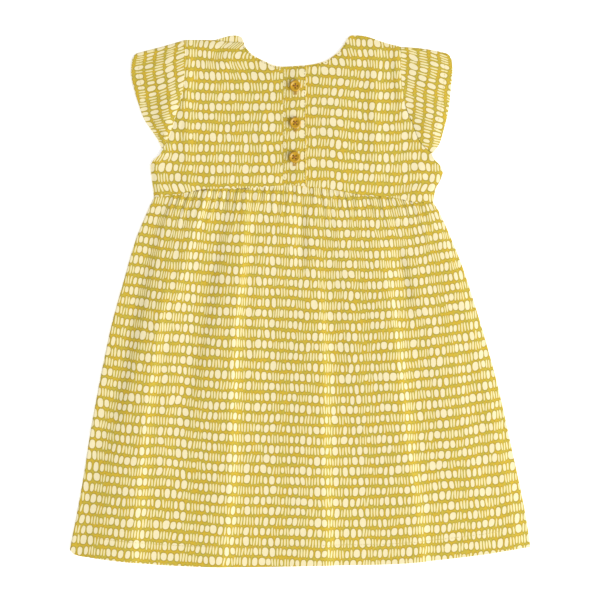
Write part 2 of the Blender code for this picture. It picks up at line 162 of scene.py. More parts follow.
# A fold's place across at the waist and at the hem, where it begins and ends down the panel, its
# width to each side and its height
FOLD_COLUMNS = ("waist", "hem", "begin", "end", "left", "right", "height")
FOLD_BEGINS = 0.3  # share of its length over which a fold rises
FOLD_ENDS = 0.4  # and over which it fades
FOLD_STRAY = {"width": 0.004, "down": 9.0, "across": 40.0}  # from its course, in panel widths
FOLDS = {
    "back": (
        (0.120, 0.132, 0.05, 1.40, 25.0, 7.5, 2.3),
        (0.185, 0.100, -0.15, 0.50, 18.0, 8.0, 1.2),
        (0.272, 0.190, -0.10, 0.75, 18.0, 9.0, -1.1),
        (0.338, 0.330, -0.15, 1.40, 32.0, 7.0, 2.7),
        (0.415, 0.425, 0.18, 0.68, 9.0, 9.0, -0.5),
        (0.520, 0.514, 0.02, 0.27, 8.0, 7.0, -1.5),
        (0.563, 0.553, 0.12, 1.40, 38.0, 7.0, 2.8),
        (0.755, 0.754, 0.04, 1.40, 38.0, 7.0, 2.8),
        (0.812, 0.815, 0.12, 0.35, 9.0, 7.0, -1.5),
        (0.902, 0.900, 0.25, 1.10, 20.0, 8.0, 0.9),
    ),
    "front": (
        (0.190, 0.160, 0.05, 0.90, 13.0, 13.0, 0.6),
        (0.400, 0.420, 0.10, 0.60, 11.0, 11.0, 0.5),
        (0.640, 0.660, 0.00, 0.80, 14.0, 14.0, 0.6),
        (0.860, 0.840, 0.10, 0.90, 10.0, 10.0, 0.5),
    ),
}
SIDE_RISE = 15.0  # width over which a panel rises from its right side
LEFT_FLAT = (19.0, 3.0)  # width of the flat strip along its left side, above and below
LEFT_RISE = (19.0, 28.0)  # and over what width it rises from there
LEFT_CHANGE = (0.45, 0.80)  # how far down it is between the two
BACK_LIFT = 1.6  # how far the skirt's back stands off its front
LIFT_DEPTH = 22.0  # and how far down it has risen to that
SKIRT_CRUMPLE = ((0.10, 13.0, 3.0), (0.35, 48.0, 7.0))  # height, size and seed of its swellings
CRUMPLE_CHANGE = 30.0  # depth over which they take over from the bodice's
SKIRT_ROWS = 88
SKIRT_ROW_GROWTH = 0.6  # rows are closer by this share at the waist and wider at the hem
BACK_COLUMNS = 330
FRONT_COLUMNS = 90
SIDE_STEPS = 8  # of the turn at a side seam
SIDE_SEAM = {"depth": 0.3, "degrees": 20.0}  # its crease in that turn
HEM_TURN = 20.0  # height of the hem that is turned in
HEM_TURN_EDGE = 3.0  # over which the cloth grows thicker there
BUNCH_REACH = 16  # columns over which spare cloth is gathered into the steep places
BUNCH_MOST = 2.6  # most times the mean that one place takes
STEEP_LEAST = 0.02  # mean slope below which the spare cloth stays spread out

# How far the print's rows hang below level on the skirt's back, at places across it (0 to 1).
# The sides pull the rows up, and the pull on the right grows towards the hem.
SAG_COLUMNS = ("across", "waist", "middle", "hem")
ROW_SAGS = (
    (0.00, -6.5, -12.0, -9.5),
    (0.12, -4.0, -5.0, -6.5),
    (0.20, -1.5, -4.0, -4.5),
    (0.27, -1.0, -0.5, -2.0),
    (0.45, 0.5, 2.5, 1.5),
    (0.65, 5.5, 4.5, 2.5),
    (0.85, 5.0, -1.0, -3.0),
    (1.00, -1.0, -9.5, -11.0),
)
FRONT_SAG = 11.0  # in the middle of the front panel, below its sides
PRINT_TOP = 107.6  # height of a row's upper edge where the rows don't sag
ROW_RIPPLES = ((0.9, 9.0, 4.0, 70.0), (0.45, 17.0, 6.0, 1000.0))  # height, size, seed and reach

# Bodice
SIDE_SHARE = 3 / 15  # of a bodice's height, up its side seam
UNDERARM_SHARE = 3 / 15  # and along its bare underarm edge
ARMHOLE_SHARE = 9 / 15
BODICE_STOPS = (SIDE_SHARE, SIDE_SHARE + UNDERARM_SHARE)  # heights at which a row of the grid lies
BACK_GRID = (115.0, 140.0, 84, 96)  # width and height in millimetres, columns and rows
FRONT_GRID = (240.0, 140.0, 90, 60)
BODICE_CROWN = 0.7  # how far the back stands up halfway between waist and neck
CROWN_RISE = 30.0  # width over which it does so, beside the band
BAND_LEFT = -15.9
BAND_RIGHT = 5.0
BAND_HEIGHT = 108.0
BAND_GRID = (BAND_RIGHT - BAND_LEFT, BAND_HEIGHT, 30, 90)
BAND_STEP = 15.0  # width over which it rises on to the other half
BAND_TOP = 4.9  # level that its top reaches
BAND_HALF = (0.3, 0.7)  # half its thickness, at its seam and where it is folded
BAND_END_DROP = 0.8  # how far it comes down again at its two ends
BAND_END_REACH = 5.0
BAND_WAVE = ((0.30, 14.0), (0.15, 5.3))  # of its folded edge: height and length
BAND_CRUMPLE = ((0.10, 9.0, 8.0),)
BAND_APPROACH = {"height": 0.7, "width": 34.0, "begin": 0.12}  # how the left half rises to the band
UNDER_BAND = 0.5  # how far the right half's edge sinks under it
RIGHT_HALF_EDGE = -11.8
BODICE_CRUMPLE = ((0.12, 15.0, 5.0), (0.25, 42.0, 9.0))
CREASE_COLUMNS = ("x", "y", "to_x", "to_y", "half_width", "height")
CREASES = {
    "back_bodice_left": (
        (-131.0, 119.0, -84.0, 113.0, 5.0, -0.45),
        (-129.0, 108.0, -92.0, 104.0, 4.0, 0.45),
        (-57.0, 231.0, -76.0, 203.0, 6.0, 0.50),
        (-64.0, 232.0, -88.0, 216.0, 4.0, -0.40),
        (-103.0, 240.0, -103.0, 130.0, 6.0, 0.90),
        (-102.0, 165.0, -101.0, 95.0, 5.0, 0.50),
        (-34.0, 180.0, -34.0, 104.0, 5.0, 0.40),
    ),
    "back_bodice_right": (
        (124.0, 112.0, 82.0, 103.0, 4.5, -0.45),
        (106.0, 128.0, 108.0, 94.0, 7.0, 0.55),
        (65.0, 245.0, 68.0, 90.0, 6.0, 0.90),
        (86.0, 240.0, 92.0, 150.0, 5.0, 0.70),
        (44.0, 233.0, 55.0, 205.0, 6.0, 0.45),
        (30.0, 170.0, 38.0, 112.0, 9.0, 0.25),
    ),
    "sleeve_left": (
        (-103.0, 240.0, -103.0, 130.0, 6.0, 0.90),
        (-112.0, 219.0, -146.0, 205.0, 5.0, 0.5),
        (-111.0, 190.0, -143.0, 181.0, 6.0, -0.5),
        (-117.0, 165.0, -136.0, 158.0, 5.0, 0.4),
    ),
    "sleeve_right": (
        (86.0, 240.0, 92.0, 150.0, 5.0, 0.70),
        (97.0, 214.0, 130.0, 207.0, 6.0, 0.5),
        (98.0, 184.0, 129.0, 180.0, 5.0, -0.5),
        (106.0, 158.0, 124.0, 152.0, 5.0, 0.4),
    ),
}

# The bodice's print: where a row's edge lies, how far along the rows it starts, how far the rows
# rise at places across, and where the motifs lean over: x, y, the reach across and up, and how far
# (1 is 45 degrees, with their tops right)
BODICE_PRINT = {
    "back_bodice_left": {
        "top": 235.3,
        "along": 0.0,
        "rise": ((-136.0, 1.0), (-114.0, 2.0), (-80.0, 0.0), (-15.0, 0.0)),
        "lean": (
            (-58.0, 231.0, 22.0, 17.0, 1.10),
            (-126.0, 127.0, 14.0, 9.0, 0.60),
            (-112.0, 102.0, 22.0, 12.0, -0.40),
        ),
    },
    "back_bodice_right": {
        "top": 235.9,
        "along": 21.0,
        "rise": ((-12.0, 6.5), (25.0, 4.0), (55.0, 1.0), (82.0, 0.0), (102.0, 2.0), (129.0, 0.5)),
        "lean": (
            (48.0, 222.0, 32.0, 22.0, -0.25),
            (118.0, 102.0, 20.0, 12.0, 0.32),
        ),
    },
    "front_bodice": {"top": 240.2, "along": 13.0, "rise": ((0.0, 0.0), (1.0, 0.0)), "lean": ()},
    "button_band": {"top": 237.9, "along": 40.0, "rise": ((0.0, 0.0), (1.0, 0.0)), "lean": ()},
}

# Sleeves
SLEEVE_CROWN = 1.6  # how far a sleeve's upper layer stands up at its middle
SLEEVE_LENGTH = 100.0  # of each layer, from the underarm to the folded top
SLEEVE_WIDTH = 40.0
SLEEVE_COLUMNS = 40
SLEEVE_ROWS = 60  # of each layer
SLEEVE_TURN_STEPS = 8  # of the turn at its folded top
SLEEVE_TOP = 0.1  # share of the way up over which it bends to its folded top
SLEEVE_BOTTOM = 0.12  # and over which it rises from the underarm
# How far in from the hem its first row starts, by the share of the way up the sleeve. How far the
# motifs lean at the hem, below and at the top, and how much more for each millimetre in from it.
SLEEVE_PRINT = {
    "left": {
        "starts": ((0.2, -5.0), (0.45, -1.5), (0.7, 2.0), (0.92, 3.0)),
        "lean": (-0.10, -0.20),
        "curl": 0.009,
    },
    "right": {
        "starts": ((0.05, -2.5), (0.3, 1.5), (0.6, 3.5), (0.9, 2.5)),
        "lean": (0.28, 0.17),
        "curl": 0.0,
    },
}
SLEEVE_CORNER = {"size": 1.1, "reach": 2.2, "begin": 0.96}  # how its hem is rounded at the top
SLEEVE_PEAK = {"left": 1.9, "right": 0.75}  # above 1, the crown is highest nearer the armhole
FOLD_BOW = {"left": -0.4, "right": 1.4}  # how far its folded top bows up, or down below 0

# Buttons
BUTTON_PLACES = {"top": (-4.7, 193.1), "middle": (-4.7, 160.0), "bottom": (-5.4, 129.1)}
BUTTON_TURNS = {"top": 42.0, "middle": 0.0, "bottom": -8.0}
BUTTON_RADIUS = 5.0
BUTTON_HEIGHT = 2.5
BUTTON_PROFILE = (
    (0.0, 0.70), (0.36, 0.71), (0.56, 0.74), (0.66, 0.86), (0.73, 0.97),
    (0.82, 1.0), (0.91, 0.95), (0.97, 0.82), (1.0, 0.62), (0.99, 0.45),
    (0.94, 0.24), (0.84, 0.07), (0.7, 0.0), (0.0, 0.0),
)
BUTTON_STEPS = 64
HOLE_RADIUS = 0.7
HOLE_OFFSET = 1.3
HOLE_SIDES = 20
HOLE_CORNERS = ((-1, -1), (1, -1), (1, 1), (-1, 1))

# Sewing
THREAD = 0.17  # radius of the sewing thread
THREAD_SIDES = 6
STITCH = {"length": 2.1, "gap": 0.7, "rise": 0.16, "sink": 0.25, "steps": 5}
NECK_STITCHES = {"inset": 1.6, "left": -50.0, "begin": 0.07, "right": 41.0}
BAND_STITCHES = {"from_seam": 1.7, "from_fold": 1.2, "heights": (104.5, 208.5)}
SLEEVE_STITCHES = 7.0  # in from a sleeve's hem
SLEEVE_STITCHED = {"start": 0.03, "end": 0.95}  # the part of its hem that is stitched
HEM_STITCHES = 1.5  # down from where the skirt's hem is turned in
HEM_STITCHED = {"start": 0.06, "end": 0.94, "steps": 240}
# How far a buttonhole reaches from its button's middle, how far the button hides it, half the
# width of its slit and of the whole, and its stitches, with as many across each end as bar says
BUTTONHOLE = {"below": 7.6, "above": 5.9, "hidden": 3.6, "slit": 0.12, "width": 1.7}
BUTTONHOLE_STITCH = {"pitch": 0.42, "rise": 0.12, "sink": 0.06, "bar": 3}
# A thread's places from hole to hole, and its height over the button's middle: in the holes, where
# the first and the second cross, and how much less that is beside the crossing
BUTTON_COURSE = (1.0, 0.8, 0.0, -0.8, -1.0)
BUTTON_THREAD = {"radius": 0.24, "under": -2.3, "over": (0.22, 0.42), "ease": 0.1}

# The print: rows of ovals and strokes. Each letter is a motif, and three rows repeat.
PRINT_ROWS = (
    "WWDMDDDDWDWWMDDDSDDMM",
    "MDDDDDMSDWDDDDMWMDDDMM",
    "DDDMWMDDDDDDMDWWDDSMMD",
)
MOTIFS = {  # millimetres: the width of its place, its own width and its height
    "W": {"place": 6.5, "width": 5.1, "height": 7.6},
    "M": {"place": 5.1, "width": 3.9, "height": 6.9},
    "S": {"place": 4.2, "width": 3.1, "height": 5.9},
    "D": {"place": 2.65, "width": 1.7, "height": 7.3},
}
PRINT_PITCH = 9.35  # from one row to the next
PRINT_REPEAT = 82.0  # along a row
PRINT_STRAY = {"scale": 0.03, "detail": 3.0, "reach": 4.0}  # noise that moves the motifs
RAMP_UNIT = 10.0  # millimetres in one unit of a colour ramp's width and height
MOTIF_CHANCES = {  # how far motifs differ in size (1 is as above), lean and place up or down
    "width": (0.82, 1.14),
    "height": (0.87, 1.11),
    "lean": (-0.07, 0.15),
    "rise": (-0.45, 0.45),
}
MOTIF_POWERS = {"width": 2.3, "height": 2.8}  # 2 is an ellipse, and more is squarer
# How far from a motif's middle (1 is at its outline) a share goes from 0 to 1
INSIDE_MOTIF = (1.12, 0.85)
BESIDE_MOTIF = (2.4, 1.2)
OVAL_WIDTHS = (0.08, 0.22)  # half widths, on a ramp, from a stroke's to an oval's
# Noise in the cloth: its scale and detail, and the values from its lowest to its highest
NOISES = {
    "outline": (0.9, 2.0, -0.25, 0.25),
    "slub": (0.55, 3.0, 0.86, 1.14),
    "patches": (0.035, 2.0, 0.95, 1.05),
    "ink": (1.4, 2.0, 0.94, 1.05),
}
DYE = {"scale": 0.15, "golden": 0.38, "olive": 0.62}  # noise that shares out the ground's colours
WEAVE = {"pitch": 0.8, "height": 0.06, "rough_scale": 0.16, "rough_detail": 3.0}

COTTON_FINISH = {
    "Roughness": 0.86,
    "Specular IOR Level": 0.25,
    "Sheen Weight": 0.12,
    "Sheen Roughness": 0.5,
}
GROUND = {"golden": (0.630, 0.432, 0.033), "olive": (0.562, 0.432, 0.047)}
BESIDE_TONE = 0.72  # tone of the ground right beside a motif, which is 1 elsewhere
CREAM = {"strokes": (0.868, 0.762, 0.390), "ovals": (0.878, 0.776, 0.470)}
PLASTIC = (0.560, 0.310, 0.006)
THREADS = {
    "mustard": (0.64, 0.51, 0.13),
    # olive is darker than the other threads: on the edge stitches it is partly painted shade along
    # the neck edge and the band's folded edge
    "olive": (0.25, 0.17, 0.015),
    "ochre": (0.52, 0.30, 0.018),
    "rust": (0.34, 0.08, 0.01),
}

# Stage. Its lengths are in metres, except the camera's lens and sensor.
KEY = {"power": 450.0, "size": 6.0, "place": (4.25, -2.10, 3.70)}
SKY = 0.50
FLOOR = {"colour": (0.93, 0.93, 0.93), "size": 4.0, "drop": 0.0003, "glow": 0.5}
CAMERA = {"lens": 85.0, "sensor": 36.0, "place": (-0.00045, 0.0009)}
VIEW = {"width": 0.540, "height": 0.003}  # what the camera sees, at this height


def arch(x):
    """0 at 0 and at 1, and up to 1 between them."""
    return np.sin(np.pi * x)


def smooth(x):
    """0 below 0, 1 above 1, and an even S between."""
    x = np.clip(x, 0.0, 1.0)
    return x * x * (3.0 - 2.0 * x)


def lerp(a, b, t):
    return a + (b - a) * t


def bell(x):
    return np.exp(-x * x)


def spline(knots, values, s):
    """The smooth curve through the values at the knots, read at s."""
    knots, values, s = (np.asarray(item, float) for item in (knots, values, s))
    flat = values.reshape(len(knots), -1)
    order = np.arange(len(knots))
    before, after = np.maximum(order - 1, 0), np.minimum(order + 1, len(knots) - 1)
    slopes = (flat[after] - flat[before]) / (knots[after] - knots[before])[:, None]
    s = np.clip(s, knots[0], knots[-1])
    i = np.clip(np.searchsorted(knots, s, side="right") - 1, 0, len(knots) - 2)
    span = (knots[i + 1] - knots[i])[..., None]
    x = (s - knots[i])[..., None] / span
    rise = x * x * (3.0 - 2.0 * x)
    start = slopes[i] * span * x * (1.0 - x) ** 2
    end = slopes[i + 1] * span * x * x * (1.0 - x)
    result = flat[i] * (1.0 - rise) + flat[i + 1] * rise + start - end
    return result.reshape(s.shape + values.shape[1:])


def chords(points):
    """Length along a row of points to each of them."""
    return np.concatenate(([0.0], np.cumsum(np.linalg.norm(np.diff(points, axis=0), axis=1))))


def curve(points):
    """The smooth curve through the points, as a function of t from 0 to 1 along their chords."""
    points = np.array(points, float)
    lengths = chords(points)
    return lambda t: spline(lengths, points, np.asarray(t, float) * lengths[-1])


def line(start, end):
    return lambda t: lerp(np.asarray(start), np.asarray(end), np.asarray(t, float)[..., None])


def stretch(edge, start, end):
    """The part of an edge between two places on it."""
    return lambda t: edge(lerp(start, end, np.asarray(t, float)))


def joined(pieces):
    """One edge made of several, each given with the share of t that it takes."""

    def at(t):
        t = np.asarray(t, float)
        result = np.zeros(t.shape + (2,))
        start = 0.0
        for edge, share in pieces:
            inside = t >= start - 1e-9
            local = edge(np.clip((t - start) / share, 0.0, 1.0))
            result = np.where(inside[..., None], local, result)
            start += share
        return result

    return at


def patch(start, end, left, right):
    """The flat patch inside four edges, as a function of u across and v from start to end."""

    def at(u, v):
        across, along = u[..., None], v[..., None]
        sides = lerp(left(v), right(v), across)
        ends = lerp(start(u), end(u), along)
        low, high = lerp(start(0.0), start(1.0), across), lerp(end(0.0), end(1.0), across)
        return sides + ends - lerp(low, high, along)

    return at


def raised(plan, z):
    """The points of a plan, at their heights."""
    return np.concatenate((plan, z[..., None]), axis=-1)


def crossing(edge, x):
    """The place (0 to 1) where an edge that runs to the right passes x."""
    places = np.linspace(0.0, 1.0, 2001)
    return float(np.interp(x, edge(places)[:, 0], places))


def distance(points, edge, steps=160):
    """Distance in the plane from each grid point to an edge."""
    along = edge(np.linspace(0.0, 1.0, steps))
    nearest = np.full(points.shape[:-1], np.inf)
    for start, way in zip(along, np.diff(along, axis=0)):
        away = points[..., :2] - start
        share = np.clip(away @ way / (way @ way), 0.0, 1.0)
        nearest = np.minimum(nearest, np.linalg.norm(away - share[..., None] * way, axis=-1))
    return nearest


def crumple(points, size, seed):
    """Soft uneven swelling from -1 to 1, over about size millimetres."""
    flat = points.reshape(-1, points.shape[-1])
    values = [noise.noise(Vector((p[0] / size, p[1] / size, seed))) for p in flat]
    return np.array(values).reshape(points.shape[:-1])


def crumples(points, swellings):
    return sum(height * crumple(points, size, seed) for height, size, seed in swellings)


def crease_height(points, creases):
    """Height that the soft straight creases add, each strongest at its middle."""
    height = np.zeros(points.shape[:-1])
    for row in creases:
        crease = dict(zip(CREASE_COLUMNS, row))
        start = np.array((crease["x"], crease["y"]))
        way = np.array((crease["to_x"], crease["to_y"])) - start
        length = np.linalg.norm(way)
        along = (points[..., :2] - start) @ way / length**2
        across = (points[..., :2] - start) @ np.array((-way[1], way[0])) / length
        inside = np.clip(along, 0.0, 1.0)
        height += crease["height"] * arch(inside) * bell(across / crease["half_width"])
    return height


# Cloth meshes

RIM = ((0.0, 0.0), (0.08, 0.392), (0.3, 0.714), (1.0, 1.0))  # share of a rim, and thickness there


def places_across(length, count, rims=(COTTON, COTTON), stops=()):
    """Grid places from 0 to 1, extra close at both ends, with the share of the thickness at each.

    rims are the widths over which the cloth is rounded off at its two ends."""
    first, last = (rim / length for rim in rims)
    inner = list(np.linspace(2.0 * first, 1.0 - 2.0 * last, count))
    for stop in stops:
        nearest = min(range(len(inner)), key=lambda i: abs(inner[i] - stop))
        inner[nearest] = stop
    start = [share * first for share, _ in RIM]
    end = [1.0 - share * last for share, _ in reversed(RIM)]
    thickness = [share for _, share in RIM]
    return np.array(start + inner + end), np.array(thickness + [1.0] * len(inner) + thickness[::-1])


def grid(width, height, columns, rows, across=(COTTON, COTTON), up=(COTTON, COTTON), stops=()):
    """u and v of a grid whose rows run down from v = 1, with its share of the thickness."""
    across, across_share = places_across(width, columns, across)
    up, up_share = places_across(height, rows, up, stops)
    u, v = np.meshgrid(across, up[::-1])
    return u, v, np.minimum(*np.meshgrid(across_share, up_share[::-1]))


def normals(middle, wraps):
    """Directions out of a grid whose rows run down and columns to the right, seen from outside."""
    down = np.gradient(middle, axis=0)
    if wraps:
        across = np.roll(middle, -1, axis=1) - np.roll(middle, 1, axis=1)
    else:
        across = np.gradient(middle, axis=1)
    out = np.cross(down, across)
    return out / np.maximum(np.linalg.norm(out, axis=-1, keepdims=True), 1e-9)


def add_object(name, data, materials=()):
    for material in materials:
        data.materials.append(material)
    piece = bpy.data.objects.new(name, data)
    bpy.context.scene.collection.objects.link(piece)
    return piece


def cloth(name, middle, half, flat, materials, wraps=False):
    """A closed piece of cloth around a grid of points, half thick to each side of it.

    half is 0 along the free edges, where the two skins meet. flat holds each point's place on the
    cloth, with one more column than middle if the columns wrap round. The first material is for
    the skin that faces out and the last for the one inside."""
    rows, columns = middle.shape[:2]
    out = normals(middle, wraps) * half[..., None]
    points = np.concatenate(((middle + out).reshape(-1, 3), (middle - out).reshape(-1, 3)))
    outer = np.arange(rows * columns).reshape(rows, columns)
    inner = np.where(half > 0.0, outer + rows * columns, outer)
    if wraps:
        outer = np.concatenate((outer, outer[:, :1]), axis=1)
        inner = np.concatenate((inner, inner[:, :1]), axis=1)
    skins = []
    for index in (outer, inner):
        corners = (index[:-1, :-1], index[1:, :-1], index[1:, 1:], index[:-1, 1:])
        skins.append(np.stack([c.ravel() for c in corners], axis=-1))
    spots = (flat[:-1, :-1], flat[1:, :-1], flat[1:, 1:], flat[:-1, 1:])
    spots = np.stack([s.reshape(-1, 2) for s in spots], axis=1)
    faces = np.concatenate((skins[0], skins[1][:, ::-1]))
    spots = np.concatenate((spots, spots[:, ::-1])) / UV_UNIT
    used, faces = np.unique(faces, return_inverse=True)
    faces = faces.reshape(-1, 4)

    data = bpy.data.meshes.new(name)
    data.from_pydata((points[used] * MM).tolist(), [], faces.tolist())
    layer = data.uv_layers.new(name="Cloth")
    layer.data.foreach_set("uv", spots.astype(np.float32).ravel())
    if len(materials) > 1:
        index = np.repeat([0, len(materials) - 1], len(skins[0]))
        data.polygons.foreach_set("material_index", index.astype(np.int32))
    data.shade_smooth()
    data.update()
    return add_object(name, data, materials)


# Skirt


def uneven(k, waves, phase):
    """How much more or less gather k has than the others."""
    return 1.0 + sum(share * np.sin(step * k + phase) for share, step in waves)


def gather_edges():
    """The valleys between a panel's gathers, from 0 to 1 across it."""
    k = np.arange(GATHERS)
    widths = 1.0 + sum(share * np.sin(step * k + start) for share, step, start in GATHER_UNEVEN)
    return np.concatenate(([0.0], np.cumsum(widths))) / widths.sum()


def gather_height(u, depth, gathering):
    """Height of the gathers under the waist seam at u across a panel."""
    phase = gathering["phase"]
    stray = np.sin(depth / GATHER_STRAY["down"] + GATHER_STRAY["across"] * u + phase)
    stray = stray * smooth(depth / GATHER_RISE)
    u = np.clip(u + GATHER_STRAY["width"] / PANEL_WIDTH * stray, 0.0, 1.0)
    edges = gather_edges()
    k = np.clip(np.searchsorted(edges, u, side="right") - 1, 0, GATHERS - 1)
    part = (u - edges[k]) / (edges[k + 1] - edges[k])
    ridge = np.abs(arch(part)) ** (2.0 * GATHER_ROUND)
    height = gathering["height"] * uneven(k, GATHER_HEIGHTS, phase)
    reach = gathering["reach"] * uneven(k, GATHER_REACHES, phase)
    rise = lerp(SEAM_SQUEEZE, 1.0, smooth(depth / GATHER_RISE))
    fade = 1.0 - smooth((depth / reach - GATHER_FADE) / (1.0 - GATHER_FADE))
    return height * ridge * rise * fade


def tuck_height(u, depth):
    """The small tucks right under the seam, each with a reach and height of its own."""
    k = np.floor(u * TUCKS)
    ridge = arch(u * TUCKS - k) ** 2
    reach = TUCK_REACH * uneven(k, TUCK_REACHES, 1.0)
    return TUCK_HEIGHT * uneven(k, TUCK_HEIGHTS, 0.0) * ridge * (1.0 - smooth(depth / reach))


def fold_height(u, v, folds):
    """Height that the long soft folds add at u across and v down the panel."""
    height = np.zeros_like(u)
    for row in folds:
        fold = dict(zip(FOLD_COLUMNS, row))
        stray = np.sin(FOLD_STRAY["down"] * v + FOLD_STRAY["across"] * fold["waist"])
        course = lerp(fold["waist"], fold["hem"], v) + FOLD_STRAY["width"] * stray
        across = (u - course) * PANEL_WIDTH
        across = across / np.where(across < 0.0, fold["left"], fold["right"])
        length = fold["end"] - fold["begin"]
        begun = smooth((v - fold["begin"]) / (FOLD_BEGINS * length))
        remains = smooth((fold["end"] - v) / (FOLD_ENDS * length))
        height += fold["height"] * bell(across) * begun * remains
    return height


def panel_relief(face, u, v, lift):
    """Height of one skirt panel over what it lies on."""
    depth = v * SKIRT_DEPTH
    below = smooth((v - LEFT_CHANGE[0]) / (LEFT_CHANGE[1] - LEFT_CHANGE[0]))
    settle = smooth((u * PANEL_WIDTH - lerp(*LEFT_FLAT, below)) / lerp(*LEFT_RISE, below))
    settle *= smooth((1.0 - u) * PANEL_WIDTH / SIDE_RISE)
    soft = np.maximum(lift + fold_height(u, v, FOLDS[face]), 0.0)
    return settle * (soft + gather_height(u, depth, GATHERING[face]) + tuck_height(u, depth))


def row_sag(u, v):
    """How far the print's rows hang below level at u across and v down the skirt's back."""
    table = dict(zip(SAG_COLUMNS, zip(*ROW_SAGS)))
    waist, middle, hem = (spline(table["across"], table[key], u) for key in SAG_COLUMNS[1:])
    upper = waist * (1.0 - v) * (1.0 - 2.0 * v) + middle * 4.0 * v * (1.0 - v)
    return upper + hem * v * (2.0 * v - 1.0)


def spread(values, reach):
    """Each value averaged with its neighbours in its row, reach columns to each side."""
    width = 2 * reach + 1
    total = np.cumsum(np.pad(values, ((0, 0), (reach + 1, reach)), mode="edge"), axis=1)
    return (total[:, width:] - total[:, :-width]) / width


def panel_across(u, plan):
    """Places across a panel's cloth, which is narrower at the waist than at the hem."""
    return lerp(plan[..., 0], PANEL_WIDTH * (u - 0.5), FAN)


def bunched(across, plan, height):
    """Places across the cloth, moved so that more of it lies where the surface is steep."""
    step = np.gradient(plan[..., 0], axis=1)
    spare = np.gradient(across, axis=1) - step
    steep = np.abs(np.gradient(height, axis=1)) / step
    share = steep / np.maximum(spread(steep, BUNCH_REACH), STEEP_LEAST)
    moved = np.cumsum(spare * (np.minimum(share, BUNCH_MOST) - 1.0), axis=1)
    return across + moved - spread(moved, BUNCH_REACH)


def side_turn(start, end, way, radius):
    """The columns that take the cloth round a side, way +1 on the right and -1 on the left."""
    columns = []
    for angle in np.linspace(90.0, -90.0, SIDE_STEPS + 1)[1:-1]:
        crease = SIDE_SEAM["depth"] * bell(angle / SIDE_SEAM["degrees"])
        reach = way * (radius - crease) * math.cos(math.radians(angle))
        share = (1.0 - math.sin(math.radians(angle))) / 2.0
        columns.append(lerp(start, end, share) + np.array((reach, 0.0, 0.0)))
    return np.stack(columns, axis=1)


def skirt_back(place, u, v):
    """Points of the skirt's back, and their places on the cloth."""
    depth = v * SKIRT_DEPTH
    begun = smooth(depth / GATHER_START)
    plan = place(u, v)
    plan[..., 1] += (SEAM_GAP / 2 - SEAM_LINE) * (1.0 - begun)
    lift = BACK_LIFT * smooth(depth / LIFT_DEPTH)
    relief = panel_relief("front", u, v, 0.0) + panel_relief("back", u, v, lift)
    below = smooth(depth / CRUMPLE_CHANGE)
    relief += crumples(plan, SKIRT_CRUMPLE) * below
    z = UPPER_LEVEL + relief * begun - SEAM_DIP * bell(depth / SEAM_DIP_REACH)
    z += crumples(plan, BODICE_CRUMPLE) * (1.0 - below)
    across = bunched(panel_across(u, plan), plan, relief)
    down = PRINT_TOP - plan[..., 1] - row_sag(u, v)
    for height, size, seed, reach in ROW_RIPPLES:
        down += height * crumple(plan, size, seed) * (1.0 - smooth(depth / reach))
    return raised(plan, z), across, down


def skirt_front(place, u, v):
    """The same for its front, which lies on the surface."""
    depth = v * SKIRT_DEPTH
    plan = place(u, v)
    plan[..., 1] -= SEAM_GAP / 2 * (1.0 - smooth(depth / GATHER_START))
    z = LOWER_LEVEL + panel_relief("front", u, v, 0.0)
    sides = lerp(row_sag(np.zeros_like(u), v), row_sag(np.ones_like(u), v), u)
    down = PRINT_TOP - plan[..., 1] - sides - FRONT_SAG * 4.0 * u * (1.0 - u)
    return raised(plan, z), panel_across(u, plan), down


def make_skirt(materials):
    """The skirt as one tube from its left side seam: the back panel, then the front panel."""
    sides = (curve(SKIRT_SIDES["left"]), curve(SKIRT_SIDES["right"]))
    place = patch(curve(WAIST), curve(HEM), *sides)
    down, thickness = places_across(SKIRT_DEPTH, SKIRT_ROWS, (SEAM_RIM, COTTON))
    inner = slice(len(RIM), -len(RIM))
    t = np.linspace(0.0, 1.0, SKIRT_ROWS)
    even = (1.0 - SKIRT_ROW_GROWTH) * t + SKIRT_ROW_GROWTH * t * t
    down[inner] = lerp(down[inner][0], down[inner][-1], even)
    in_hem = smooth((down * SKIRT_DEPTH - (SKIRT_DEPTH - HEM_TURN)) / HEM_TURN_EDGE)
    half = lerp(COTTON, TURNED, in_hem)

    radius = (UPPER_LEVEL - LOWER_LEVEL) / 2
    margin = (radius + COTTON) / PANEL_MEAN
    to_right = np.linspace(margin, 1.0 - margin, BACK_COLUMNS)
    to_left = np.linspace(1.0 - margin, margin, FRONT_COLUMNS)
    back, back_across, back_down = skirt_back(place, *np.meshgrid(to_right, down))
    front, front_across, front_down = skirt_front(place, *np.meshgrid(to_left, down))
    right = side_turn(back[:, -1], front[:, 0], 1.0, radius)
    left = side_turn(back[:, 0], front[:, -1], -1.0, radius)[:, ::-1]
    seam = SIDE_STEPS // 2 - 1  # the column at the middle of a turn
    middle = np.concatenate((left[:, seam:], back, right, front, left[:, :seam]), axis=1)

    step = math.pi * radius / SIDE_STEPS * np.arange(1, SIDE_STEPS)
    front_across = back_across[:, -1:] + math.pi * radius + front_across[:, :1] - front_across
    across = (
        back_across[:, :1] - step[seam::-1],
        back_across,
        back_across[:, -1:] + step,
        front_across,
        front_across[:, -1:] + step[: seam + 1],
    )
    ones = np.ones(SIDE_STEPS)
    rows_down = (
        back_down[:, :1] * ones[: seam + 1],
        back_down,
        back_down[:, -1:] * ones[1:],
        front_down,
        front_down[:, -1:] * ones[: seam + 1],
    )
    flat = np.stack([np.concatenate(parts, axis=1) for parts in (across, rows_down)], axis=-1)
    half = (half * thickness)[:, None] * np.ones(middle.shape[1])
    skirt = cloth("skirt_cloth", middle, half, flat, materials, wraps=True)
    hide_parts("skirt_front", "skirt_back")
    return skirt


# Bodice


